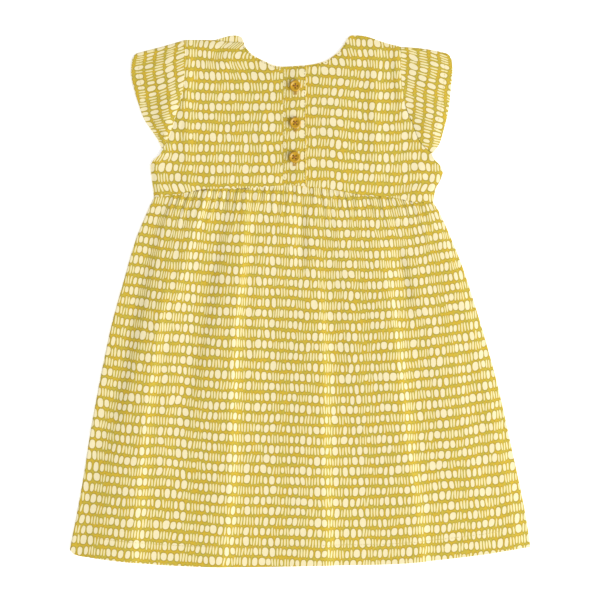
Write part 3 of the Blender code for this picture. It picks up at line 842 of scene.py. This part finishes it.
def bodice_side(side):
    """A bodice piece's side edge from the waist up: side seam, bare underarm, armhole seam."""
    return joined(
        (
            (curve(BODICE_SIDES[side]), SIDE_SHARE),
            (curve(UNDERARMS[side]), UNDERARM_SHARE),
            (curve(ARMHOLES[side]), ARMHOLE_SHARE),
        )
    )


def turned_down(points, edges, dip, reach):
    """How far cloth turns down at its edges."""
    return -sum(dip * bell(distance(points, edge) / reach) for edge in edges)


def allowance_ridge(points, edge):
    """Height over the seam allowance that lies inside an edge."""
    away = distance(points, edge)
    past = smooth((away - ALLOWANCE["width"]) / ALLOWANCE["fall"])
    return ALLOWANCE["height"] * (smooth(away / ALLOWANCE["rise"]) * (1.0 - past))


def printed_places(name, plan):
    """Places on the cloth of a bodice piece: along the print's rows, and down."""
    layout = BODICE_PRINT[name]
    x, y = plan[..., 0], plan[..., 1]
    along = x + layout["along"]
    for middle_x, middle_y, reach_x, reach_y, lean in layout["lean"]:
        near = bell((x - middle_x) / reach_x) * bell((y - middle_y) / reach_y)
        along = along - lean * (y - middle_y) * near
    places, rises = zip(*layout["rise"])
    down = layout["top"] - y + spline(places, rises, x)
    return np.stack((along, down), axis=-1)


def waist_between(start, end):
    """The bodice's edge at a part of the waist seam."""
    waist = stretch(curve(WAIST), start, end)
    return lambda t: waist(t) + (0.0, SEAM_GAP / 2)


def back_half(name, side, waist, neck, materials):
    """One half of the buttoned back, from the waist seam to its neck and shoulder."""
    outer = bodice_side(side)
    corner = crossing(neck, SHOULDER_ENDS[side][0])
    if side == "left":
        place = patch(waist, neck, outer, line(waist(1.0), neck(1.0)))
        shoulder = stretch(neck, 0.0, corner)
    else:
        place = patch(waist, neck, line(waist(0.0), neck(0.0)), outer)
        shoulder = stretch(neck, corner, 1.0)
    rims = {"across": (SEAM_RIM, SEAM_RIM), "up": (SEAM_RIM, COTTON)}
    u, v, thickness = grid(*BACK_GRID, stops=BODICE_STOPS, **rims)
    plan = place(u, v)
    z = UPPER_LEVEL + BODICE_CROWN * arch(v)
    if side == "left":
        near = smooth(1.0 - (BAND_LEFT - plan[..., 0]) / BAND_APPROACH["width"])
        z += BAND_APPROACH["height"] * near * smooth(v / BAND_APPROACH["begin"])
    else:
        covered = 1.0 - smooth((plan[..., 0] - BAND_RIGHT) / CROWN_RISE)
        z -= covered * BODICE_CROWN * arch(v)
        z -= UNDER_BAND * (1.0 - smooth((plan[..., 0] - RIGHT_HALF_EDGE) / BAND_STEP))
    z += turned_down(plan, (waist, curve(ARMHOLES[side])), SEAM_DIP, SEAM_DIP_REACH)
    z += turned_down(plan, (curve(BODICE_SIDES[side]), shoulder), JOINED_DIP, JOINED_REACH)
    z += allowance_ridge(plan, curve(ARMHOLES[side]))
    z += crumples(plan, BODICE_CRUMPLE) + crease_height(plan, CREASES[name])
    if side == "left":
        z -= SEAM_DIP * bell((plan[..., 0] - BAND_LEFT) / SEAM_DIP_REACH)
    flat = printed_places(name, plan)
    piece = cloth(f"{name}_cloth", raised(plan, z), COTTON * thickness, flat, materials)
    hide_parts(name)
    return piece


def make_back_bodice(materials):
    at_band = (BAND_LEFT - SEAM_LINE, BACK_NECK_LEFT[-1][1])
    waist = waist_between(0.0, crossing(curve(WAIST), at_band[0]))
    neck = curve(BACK_NECK_LEFT[:-1] + (at_band,))
    left = back_half("back_bodice_left", "left", waist, neck, materials)
    waist = waist_between(crossing(curve(WAIST), RIGHT_HALF_EDGE), 1.0)
    right = back_half("back_bodice_right", "right", waist, curve(BACK_NECK_RIGHT), materials)
    return left, right


def make_front_bodice(materials):
    waist, neck = waist_between(0.0, 1.0), curve(FRONT_NECK)
    place = patch(waist, neck, bodice_side("left"), bodice_side("right"))
    u, v, thickness = grid(*FRONT_GRID, stops=BODICE_STOPS)
    plan = place(u, v)
    middle = raised(plan, np.full(u.shape, LOWER_LEVEL))
    flat = printed_places("front_bodice", plan)
    half = COTTON * thickness[:, ::-1]
    piece = cloth("front_bodice_cloth", middle[:, ::-1], half, flat[:, ::-1], materials)
    turned_over = SHOULDER_ENDS["left"][1] * MM  # above this, its right side shows at the shoulder
    for face in piece.data.polygons:
        if face.center.y > turned_over:
            face.material_index = 0
    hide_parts("front_bodice")
    return piece


def make_button_band(materials):
    waist = waist_between(0.0, 1.0)
    neck = curve(BACK_NECK_LEFT[-2:] + BACK_NECK_RIGHT[1:3])
    ends = (crossing(waist, BAND_LEFT), crossing(waist, BAND_RIGHT))
    neck_ends = (crossing(neck, BAND_LEFT), crossing(neck, BAND_RIGHT))
    rims = {"across": (SEAM_RIM, BAND_HALF[1]), "up": (SEAM_RIM, COTTON)}
    u, v, thickness = grid(*BAND_GRID, **rims)
    plan = lerp(waist(lerp(*ends, u)), neck(lerp(*neck_ends, u)), v[..., None])
    wave = sum(size * np.sin(v * BAND_HEIGHT / length) for size, length in BAND_WAVE)
    plan[..., 0] = lerp(BAND_LEFT, BAND_RIGHT + wave, u)
    climbed = smooth((plan[..., 0] - BAND_LEFT) / BAND_STEP)
    half = lerp(*BAND_HALF, climbed)
    beside = UPPER_LEVEL + COTTON + BODICE_CROWN * arch(v)
    beside += BAND_APPROACH["height"] * smooth(v / BAND_APPROACH["begin"])
    from_end = np.minimum(v, 1.0 - v) * BAND_HEIGHT
    over = BAND_TOP - BAND_END_DROP * bell(from_end / BAND_END_REACH)
    z = lerp(beside, over, climbed) - half + crumples(plan, BAND_CRUMPLE)
    flat = printed_places("button_band", plan)
    piece = cloth("button_band_cloth", raised(plan, z), half * thickness, flat, materials[:1])
    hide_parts("button_band")
    return piece


# Sleeves


def sleeve_sections():
    """A sleeve's rows in order: the part each lies in, its place up it or its angle in the turn,
    and its share of the thickness."""
    layer = list(zip(*places_across(SLEEVE_LENGTH, SLEEVE_ROWS)))[: -len(RIM)]
    angles = np.linspace(-90.0, 90.0, SLEEVE_TURN_STEPS + 1)[1:-1]
    sections = [("lower", v, share) for v, share in layer]
    sections += [("turn", angle, 1.0) for angle in angles]
    return sections + [("upper", v, share) for v, share in reversed(layer)]


def make_sleeve(side, materials):
    """A cap sleeve: one strip that runs up the front, over its folded top and down the back."""
    outward = -1.0 if side == "left" else 1.0
    armhole, hem = curve(ARMHOLES[side]), curve(SLEEVE_HEMS[side])
    rims = (COTTON, SEAM_RIM) if side == "left" else (SEAM_RIM, COTTON)
    across, across_share = places_across(SLEEVE_WIDTH, SLEEVE_COLUMNS, rims)
    from_hem = across if side == "left" else 1.0 - across
    turn = (UPPER_LEVEL - LOWER_LEVEL) / 2
    crest = turn + COTTON
    size, near, begin = (SLEEVE_CORNER[key] for key in ("size", "reach", "begin"))
    layout = SLEEVE_PRINT[side]
    rows, flats, shares = [], [], []
    for part, value, share in sleeve_sections():
        along = 1.0 if part == "turn" else value
        climbed = {"lower": 0.0, "turn": (value + 90.0) / 180.0, "upper": 1.0}[part]
        outer, seam = hem(along), armhole(along)
        inner = seam + (outward * lerp(SEAM_GAP, SEAM_LINE, climbed), 0.0)
        plan = lerp(outer, inner, from_hem[:, None])
        near_top = smooth((along - (1.0 - SLEEVE_TOP)) / SLEEVE_TOP)
        plan[:, 1] += (FOLD_BOW[side] * arch(from_hem) - crest) * near_top
        corner = size * bell(from_hem * SLEEVE_WIDTH / near)
        corner = corner * smooth((along - begin) / (1.0 - begin))
        plan -= np.stack((outward * corner, corner), axis=-1)
        if part == "turn":
            radians = math.radians(value)
            z = np.full(len(across), (LOWER_LEVEL + UPPER_LEVEL) / 2 + turn * math.sin(radians))
            plan[:, 1] += turn * math.cos(radians)
            position = SLEEVE_LENGTH + turn * radians
        elif part == "lower":
            z = np.full(len(across), LOWER_LEVEL)
            position = along * SLEEVE_LENGTH
        else:
            crown = arch(from_hem ** SLEEVE_PEAK[side]) * arch(along)
            z = UPPER_LEVEL + SLEEVE_CROWN * crown
            at_seam = BODICE_CROWN * arch(1.0 + (along - 1.0) * ARMHOLE_SHARE)
            z += at_seam * smooth(from_hem) * smooth(along / SLEEVE_BOTTOM)
            rough = crease_height(plan, CREASES[f"sleeve_{side}"]) + crumples(plan, BODICE_CRUMPLE)
            z += rough * smooth((1.0 - along) / SLEEVE_TOP)
            position = (2.0 - along) * SLEEVE_LENGTH
        z = z - SEAM_DIP * climbed * bell((inner[0] - plan[:, 0]) / SEAM_DIP_REACH)
        rows.append(raised(plan, z))
        inward = from_hem * np.linalg.norm(inner - outer)
        start = spline(*zip(*layout["starts"]), along)
        lean = lerp(*layout["lean"], smooth(2.0 * along - 1.0)) + layout["curl"] / 2 * inward
        flats.append(np.stack((position + lean * inward, inward - start), axis=-1))
        shares.append(share * across_share)
    middle, flat, thickness = np.array(rows), np.array(flats), np.array(shares)
    piece = cloth(f"sleeve_{side}_cloth", middle, COTTON * thickness, flat, materials)
    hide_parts(f"sleeve_{side}")
    return piece


# Sewing


def thread_mesh(name, paths, radius, material):
    """One mesh of closed round threads, each along a path of points."""
    points, faces = [], []
    angles = np.arange(THREAD_SIDES) * 2.0 * math.pi / THREAD_SIDES
    for path in paths:
        path = np.asarray(path)
        ahead = np.gradient(path, axis=0)
        beside = np.cross(ahead, (0.0, 0.0, 1.0))
        beside /= np.linalg.norm(beside, axis=1, keepdims=True)
        above = np.cross(beside, ahead)
        above /= np.linalg.norm(above, axis=1, keepdims=True)
        ring = beside[:, None] * np.cos(angles)[:, None] + above[:, None] * np.sin(angles)[:, None]
        start = len(points)
        points += (path[:, None] + radius * ring).reshape(-1, 3).tolist()
        index = start + np.arange(len(path) * THREAD_SIDES).reshape(len(path), THREAD_SIDES)
        beyond = np.roll(index, -1, axis=1)
        quads = np.stack((index[:-1], index[1:], beyond[1:], beyond[:-1]), axis=-1)
        faces += quads.reshape(-1, 4).tolist()
        faces += [index[0].tolist(), index[-1][::-1].tolist()]
    data = bpy.data.meshes.new(name)
    data.from_pydata((np.array(points) * MM).tolist(), [], faces)
    data.shade_smooth()
    return add_object(name, data, [material])


def surface(pieces):
    """The pieces' faces, to find their height at any place."""
    points, faces = [], []
    for piece in pieces:
        start = len(points)
        points += [vertex.co.copy() for vertex in piece.data.vertices]
        faces += [[start + i for i in face.vertices] for face in piece.data.polygons]
    return BVHTree.FromPolygons(points, faces)


def height_at(ground, x, y, way=1.0):
    """Height of the first face that is met from above, or from below if way is -1."""
    start = Vector((x * MM, y * MM, way))
    hit = ground.ray_cast(start, Vector((0.0, 0.0, -way)))[0]
    return None if hit is None else hit.z / MM


def running_stitches(route, ground, way=1.0):
    """Paths of the stitches along a route in the plane, on the surface below it."""
    lengths = chords(route)
    count = int(lengths[-1] / (STITCH["length"] + STITCH["gap"]))
    share = np.linspace(0.0, 1.0, STITCH["steps"])
    lift = STITCH["rise"] * arch(share) - STITCH["sink"] * np.abs(2.0 * share - 1.0) ** 3
    paths = []
    for k in range(count):
        along = lengths[-1] * k / count + STITCH["length"] * share
        x, y = (np.interp(along, lengths, route[:, axis]) for axis in (0, 1))
        z = [height_at(ground, *place, way) for place in zip(x, y)]
        if None not in z:
            paths.append(np.stack((x, y, np.array(z) + way * lift), axis=-1))
    return paths


def inset(edge, amount, start=0.0, end=1.0, steps=120):
    """A route beside an edge, amount to the right of the way in which it runs."""
    points = edge(np.linspace(start, end, steps))
    ahead = np.gradient(points, axis=0)
    ahead /= np.linalg.norm(ahead, axis=1, keepdims=True)
    return points + amount * np.stack((ahead[:, 1], -ahead[:, 0]), axis=-1)


def up_band(x):
    """A straight route up the button band."""
    return np.array([(x, y) for y in BAND_STITCHES["heights"]])


def make_edge_stitches(ground, material):
    """The stitching beside the neck and the band's folded edge. Its dark olive thread is partly
    painted shade: it also draws the shade along these two edges.
    """
    left, right = curve(BACK_NECK_LEFT), curve(BACK_NECK_RIGHT)
    start, end = crossing(left, NECK_STITCHES["left"]), crossing(right, NECK_STITCHES["right"])
    routes = [inset(left, NECK_STITCHES["inset"], start)]
    routes.append(inset(right, NECK_STITCHES["inset"], NECK_STITCHES["begin"], end))
    routes.append(up_band(BAND_RIGHT - BAND_STITCHES["from_fold"]))
    paths = [path for route in routes for path in running_stitches(route, ground)]
    return thread_mesh("edge_stitches", paths, THREAD, material)


def make_hem_stitches(ground, material):
    """The stitching of the band's seam, the sleeves' hems and the skirt's hem."""
    routes = [up_band(BAND_LEFT + BAND_STITCHES["from_seam"])]
    routes.append(inset(curve(SLEEVE_HEMS["left"]), SLEEVE_STITCHES, **SLEEVE_STITCHED))
    routes.append(inset(curve(SLEEVE_HEMS["right"]), -SLEEVE_STITCHES, **SLEEVE_STITCHED))
    hem = inset(curve(HEM), HEM_STITCHES - HEM_TURN, **HEM_STITCHED)
    paths = [path for route in routes + [hem] for path in running_stitches(route, ground)]
    paths += running_stitches(hem, ground, -1.0)
    return thread_mesh("hem_stitches", paths, THREAD, material)


def make_buttonhole(place, ground, material):
    """The upright buttonhole that a button is pushed through, where it shows past the button."""
    x, y = BUTTON_PLACES[place]
    below, above, hidden, slit, width = BUTTONHOLE.values()
    pitch = BUTTONHOLE_STITCH["pitch"]
    share = np.linspace(0.0, 1.0, STITCH["steps"])
    lift = BUTTONHOLE_STITCH["rise"] * arch(share) - BUTTONHOLE_STITCH["sink"]
    paths = []
    for offset in np.arange(-below, above, pitch):
        if abs(offset) < hidden:
            continue
        ends = ((-width, -slit), (slit, width))
        if min(offset + below, above - offset) < BUTTONHOLE_STITCH["bar"] * pitch:
            ends = ((-width, width),)
        for start, end in ends:
            across = x + lerp(start, end, share)
            z = [height_at(ground, here, y + offset) for here in across]
            paths.append(np.stack((across, np.full(len(share), y + offset), z + lift), axis=-1))
    return thread_mesh(f"buttonhole_{place}", paths, THREAD, material)


# Materials


class Graph:
    """Short ways to add shader nodes to one material."""

    def __init__(self, material):
        self.nodes = material.node_tree.nodes
        self.links = material.node_tree.links
        self.shader = self.nodes["Principled BSDF"]

    def finish(self, settings):
        """Sets or links inputs of the material's main shader."""
        for name, value in settings.items():
            self.put(self.shader.inputs[name], value)

    def add(self, kind, inputs=None, **settings):
        node = self.nodes.new(kind)
        for name, value in settings.items():
            setattr(node, name, value)
        for name, value in (inputs or {}).items():
            self.put(node.inputs[name], value)
        return node

    def put(self, socket, value):
        if isinstance(value, bpy.types.NodeSocket):
            self.links.new(value, socket)
        else:
            socket.default_value = value

    def math(self, operation, *values):
        node = self.add("ShaderNodeMath", operation=operation)
        for socket, value in zip(node.inputs, values):
            self.put(socket, value)
        return node.outputs[0]

    def vector(self, operation, *values, **inputs):
        node = self.add("ShaderNodeVectorMath", inputs, operation=operation)
        for socket, value in zip(node.inputs, values):
            self.put(socket, value)
        return node.outputs[0]

    def mix(self, share, a, b, blend="MIX"):
        node = self.add("ShaderNodeMix", data_type="RGBA", blend_type=blend)
        self.put(node.inputs[0], share)
        self.put(node.inputs[6], a)
        self.put(node.inputs[7], b)
        return node.outputs[2]

    def noise(self, vector, scale, detail=2.0, output=0):
        inputs = {"Vector": vector, "Scale": scale, "Detail": detail}
        return self.add("ShaderNodeTexNoise", inputs).outputs[output]

    def between(self, share, low, high):
        """From low to high as a value goes from 0 to 1."""
        return self.math("MULTIPLY_ADD", share, high - low, low)

    def varied(self, spot, name):
        """One of the noises in the cloth."""
        scale, detail, low, high = NOISES[name]
        return self.between(self.noise(spot, scale, detail), low, high)

    def edge(self, value, outside, inside):
        """1 where the value has passed from outside to inside, with a soft change between."""
        inputs = {"Value": value, "From Min": outside, "From Max": inside}
        return self.add("ShaderNodeMapRange", inputs, interpolation_type="SMOOTHSTEP").outputs[0]

    def split(self, vector):
        return self.add("ShaderNodeSeparateXYZ", {0: vector}).outputs

    def channels(self, colour):
        return self.add("ShaderNodeSeparateColor", {0: colour}).outputs


def print_ramp(graph, letters, place):
    """The motif at a place (0 to 1) along a row: its middle, half width and half height."""
    ramp = graph.add("ShaderNodeValToRGB", {"Fac": place})
    band = ramp.color_ramp
    band.interpolation = "CONSTANT"
    total = sum(MOTIFS[letter]["place"] for letter in letters)
    start = 0.0
    for i, letter in enumerate(letters):
        motif = MOTIFS[letter]
        end = start + motif["place"] / total
        if i < len(band.elements) and i < 2:
            stop = band.elements[i]
            stop.position = start
        else:
            stop = band.elements.new(start)
        sizes = (motif["width"] / 2 / RAMP_UNIT, motif["height"] / 2 / RAMP_UNIT)
        stop.color = ((start + end) / 2, *sizes, 1.0)
        start = end
    return ramp.outputs[0]


def print_shares(graph, spot):
    """Three shares at a place on the cloth in mm: how far it is inside a cream motif, how close
    beside one, and how wide that motif is, from a stroke to an oval."""
    stray = graph.noise(spot, PRINT_STRAY["scale"], PRINT_STRAY["detail"], output=1)
    stray = graph.vector("SUBTRACT", stray, (0.5, 0.5, 0.5))
    moved = graph.vector("ADD", spot, graph.vector("SCALE", stray, Scale=PRINT_STRAY["reach"]))
    x, y, _ = graph.split(moved)
    row = graph.math("FLOOR", graph.math("DIVIDE", y, PRINT_PITCH))
    row_middle = graph.math("MULTIPLY", graph.math("ADD", row, 0.5), PRINT_PITCH)
    above = graph.math("SUBTRACT", y, row_middle)
    turn = graph.math("DIVIDE", x, PRINT_REPEAT)
    cycle = graph.math("FLOOR", turn)
    place = graph.math("SUBTRACT", turn, cycle)
    which = graph.math("FLOORED_MODULO", row, 3.0)
    ramps = [print_ramp(graph, letters, place) for letters in PRINT_ROWS]
    chosen = graph.mix(graph.math("GREATER_THAN", which, 0.5), ramps[0], ramps[1])
    chosen = graph.mix(graph.math("GREATER_THAN", which, 1.5), chosen, ramps[2])
    middle, width, height = graph.channels(chosen)[:3]

    name = graph.add("ShaderNodeCombineXYZ", {0: graph.math("ADD", middle, cycle), 1: row})
    inputs = {"Vector": name.outputs[0]}
    chance = graph.add("ShaderNodeTexWhiteNoise", inputs, noise_dimensions="2D")
    first, second, third = graph.channels(chance.outputs[1])[:3]
    sizes = {}
    for key, size, share in (("width", width, first), ("height", height, second)):
        limits = (limit * RAMP_UNIT for limit in MOTIF_CHANCES[key])
        sizes[key] = graph.math("MULTIPLY", size, graph.between(share, *limits))
    lean = graph.between(third, *MOTIF_CHANCES["lean"])
    above = graph.math("ADD", above, graph.between(first, *MOTIF_CHANCES["rise"]))

    across = graph.math("MULTIPLY", graph.math("SUBTRACT", place, middle), PRINT_REPEAT)
    across = graph.math("MULTIPLY_ADD", lean, above, across)
    away = graph.varied(spot, "outline")
    for key, offset in (("width", across), ("height", above)):
        share = graph.math("DIVIDE", graph.math("ABSOLUTE", offset), sizes[key])
        away = graph.math("ADD", away, graph.math("POWER", share, MOTIF_POWERS[key]))
    inside, beside = graph.edge(away, *INSIDE_MOTIF), graph.edge(away, *BESIDE_MOTIF)
    return inside, beside, graph.edge(width, *OVAL_WIDTHS)


def new_material(name, settings):
    """A material whose main shader has these settings, and its graph."""
    material = bpy.data.materials.new(name)
    material.use_nodes = True
    graph = Graph(material)
    graph.finish(settings)
    return material, graph


def printed_cotton(name, show):
    """Cotton printed with rows of ovals and strokes. show is how strongly the print is seen."""
    material, graph = new_material(name, COTTON_FINISH)
    place = graph.add("ShaderNodeUVMap", uv_map="Cloth").outputs[0]
    spot = graph.vector("SCALE", place, Scale=UV_UNIT)

    inside, beside, wide = print_shares(graph, spot)
    mask = graph.math("MULTIPLY", inside, show)
    tone = graph.math("MULTIPLY", graph.varied(spot, "slub"), graph.varied(spot, "patches"))
    tone = graph.math("MULTIPLY", tone, graph.between(beside, 1.0, BESIDE_TONE))
    dye = graph.edge(graph.noise(spot, DYE["scale"]), DYE["golden"], DYE["olive"])
    ground = graph.mix(dye, (*GROUND["golden"], 1.0), (*GROUND["olive"], 1.0))
    ground = graph.mix(1.0, ground, tone, "MULTIPLY")
    ink = graph.varied(spot, "ink")
    cream = graph.mix(wide, (*CREAM["strokes"], 1.0), (*CREAM["ovals"], 1.0))
    cream = graph.mix(1.0, cream, ink, "MULTIPLY")

    threads = []
    for axis in graph.split(spot)[:2]:
        turn = graph.math("MULTIPLY", axis, 2 * math.pi / WEAVE["pitch"])
        threads.append(graph.math("SINE", turn))
    rough = graph.noise(spot, WEAVE["rough_scale"], WEAVE["rough_detail"])
    height = graph.math("MULTIPLY_ADD", graph.math("MULTIPLY", *threads), WEAVE["height"], rough)
    bump = graph.add("ShaderNodeBump", {"Height": height, "Distance": 0.0004, "Strength": 0.6})
    graph.finish({"Base Color": graph.mix(mask, ground, cream), "Normal": bump.outputs[0]})
    return material


def plain_material(name, colour, settings, variation=0.1, scale=400.0):
    """A plain material whose colour varies softly."""
    material, graph = new_material(name, settings)
    place = graph.add("ShaderNodeTexCoord").outputs["Object"]
    tone = graph.between(graph.noise(place, scale, 3.0), 1.0 - variation, 1.0 + variation)
    graph.finish({"Base Color": graph.mix(1.0, (*colour, 1.0), tone, "MULTIPLY")})
    return material


def sewing_thread(name):
    """Thread with a soft shine and a fine twist."""
    title = f"{name.capitalize()} thread"
    settings = {"Roughness": 0.55, "Sheen Weight": 0.2}
    material = plain_material(title, THREADS[name], settings, variation=0.15, scale=900.0)
    graph = Graph(material)
    place = graph.add("ShaderNodeTexCoord").outputs["Object"]
    inputs = {"Vector": place, "Scale": 1500.0, "Distortion": 0.6}
    twist = graph.add("ShaderNodeTexWave", inputs, bands_direction="DIAGONAL").outputs[1]
    bump = graph.add("ShaderNodeBump", {"Height": twist, "Distance": 0.00005, "Strength": 0.5})
    graph.finish({"Normal": bump.outputs[0]})
    return material


# Buttons


def mesh_data(name, mesh):
    """The data of a mesh that has been edited."""
    data = bpy.data.meshes.new(name)
    mesh.to_mesh(data)
    mesh.free()
    return data


def turned_button(name):
    """The button's turned form, without its holes."""
    mesh = bmesh.new()
    ring = [
        mesh.verts.new((r * BUTTON_RADIUS * MM, 0.0, z * BUTTON_HEIGHT * MM))
        for r, z in BUTTON_PROFILE
    ]
    for here, there in zip(ring, ring[1:]):
        mesh.edges.new((here, there))
    bmesh.ops.spin(
        mesh,
        geom=mesh.verts[:] + mesh.edges[:],
        cent=(0, 0, 0),
        axis=(0, 0, 1),
        angle=2 * math.pi,
        steps=BUTTON_STEPS,
    )
    bmesh.ops.remove_doubles(mesh, verts=mesh.verts, dist=0.00001)
    bmesh.ops.recalc_face_normals(mesh, faces=mesh.faces)
    return mesh_data(name, mesh)


def hole_cutter(name):
    """Four upright rods where a button's holes are."""
    mesh = bmesh.new()
    for side_x, side_y in HOLE_CORNERS:
        middle = Vector((side_x * HOLE_OFFSET, side_y * HOLE_OFFSET, BUTTON_HEIGHT / 2)) * MM
        bmesh.ops.create_cone(
            mesh,
            cap_ends=True,
            segments=HOLE_SIDES,
            radius1=HOLE_RADIUS * MM,
            radius2=HOLE_RADIUS * MM,
            depth=2.0 * BUTTON_HEIGHT * MM,
            matrix=Matrix.Translation(middle),
        )
    return mesh_data(name, mesh)


def make_button(place, plastic, thread):
    """A button with four holes, and the crossed thread that holds it."""
    x, y = BUTTON_PLACES[place]
    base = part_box(f"button_{place}")[0].z
    turn = Matrix.Rotation(math.radians(BUTTON_TURNS[place]), 4, "Z")
    blank = add_object("blank", turned_button("blank"))
    cutter = add_object("cutter", hole_cutter("cutter"))
    blank.modifiers.new("holes", "BOOLEAN").object = cutter
    shape = blank.evaluated_get(bpy.context.evaluated_depsgraph_get())
    data = bpy.data.meshes.new_from_object(shape)
    bpy.data.objects.remove(blank)
    bpy.data.objects.remove(cutter)
    data.transform(Matrix.Translation((x * MM, y * MM, base)) @ turn)
    data.materials.clear()
    data.shade_smooth()
    data.set_sharp_from_angle(angle=math.radians(40))
    button = add_object(f"button_{place}_face", data, [plastic])
    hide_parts(f"button_{place}")

    face = base / MM + BUTTON_PROFILE[0][1] * BUTTON_HEIGHT
    under, ease = BUTTON_THREAD["under"], BUTTON_THREAD["ease"]
    paths = []
    for corner, over in zip(HOLE_CORNERS, BUTTON_THREAD["over"]):
        course = np.array(BUTTON_COURSE)[:, None] * np.array(corner) * HOLE_OFFSET
        heights = face + np.array((under, over - ease, over, over - ease, under))
        path = [turn @ Vector((*spot, 0.0)) for spot in course]
        paths.append([(x + p.x, y + p.y, z) for p, z in zip(path, heights)])
    return button, thread_mesh(f"button_{place}_thread", paths, BUTTON_THREAD["radius"], thread)


# Stage


def make_stage():
    """A white floor, the camera above it, one soft lamp and a white sky."""
    mesh = bmesh.new()
    bmesh.ops.create_grid(mesh, x_segments=1, y_segments=1, size=FLOOR["size"])
    white = (1.0, 1.0, 1.0, 1.0)
    settings = {"Roughness": 0.9, "Emission Color": white, "Emission Strength": FLOOR["glow"]}
    paper = plain_material("White floor", FLOOR["colour"], settings, variation=0.004, scale=3.0)
    floor = add_object("floor", mesh_data("floor", mesh), [paper])
    floor.location.z = -FLOOR["drop"]

    camera = add_object("camera", bpy.data.cameras.new("camera"))
    camera.data.lens = CAMERA["lens"]
    camera.data.sensor_width = CAMERA["sensor"]
    away = VIEW["width"] * camera.data.lens / camera.data.sensor_width
    camera.location = (*CAMERA["place"], VIEW["height"] + away)
    bpy.context.scene.camera = camera

    key = add_object("key", bpy.data.lights.new("key", "AREA"))
    key.data.energy = KEY["power"]
    key.data.shape = "DISK"
    key.data.size = KEY["size"]
    key.location = KEY["place"]
    key.rotation_mode = "QUATERNION"
    key.rotation_quaternion = key.location.to_track_quat("Z", "Y")

    world = bpy.data.worlds.new("world")
    world.use_nodes = True
    background = world.node_tree.nodes["Background"]
    background.inputs["Color"].default_value = white
    background.inputs["Strength"].default_value = SKY
    bpy.context.scene.world = world
    bpy.context.scene.view_settings.view_transform = "Standard"


def ride(piece):
    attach(piece, BODY)


def main():
    cotton = [printed_cotton("Printed cotton", 1.0), printed_cotton("Printed cotton inside", 0.45)]
    plastic = plain_material("Amber plastic", PLASTIC, {"Roughness": 0.3})
    mustard, olive, ochre, rust = (sewing_thread(name) for name in THREADS)

    pieces = [make_skirt(cotton), make_front_bodice(cotton), *make_back_bodice(cotton)]
    pieces += [make_button_band(cotton), make_sleeve("left", cotton), make_sleeve("right", cotton)]
    ground = surface(pieces)
    # the edge stitches' dark olive thread also paints the shade along the neck edge and the band's
    # fold
    stitched = [make_edge_stitches(ground, olive), make_hem_stitches(ground, mustard)]
    stitched += [make_buttonhole(place, ground, ochre) for place in BUTTON_PLACES]
    for piece in pieces + stitched:
        ride(piece)
    for place in BUTTON_PLACES:
        button, thread = make_button(place, plastic, rust)
        ride(button)
        ride(thread)
    make_stage()


main()
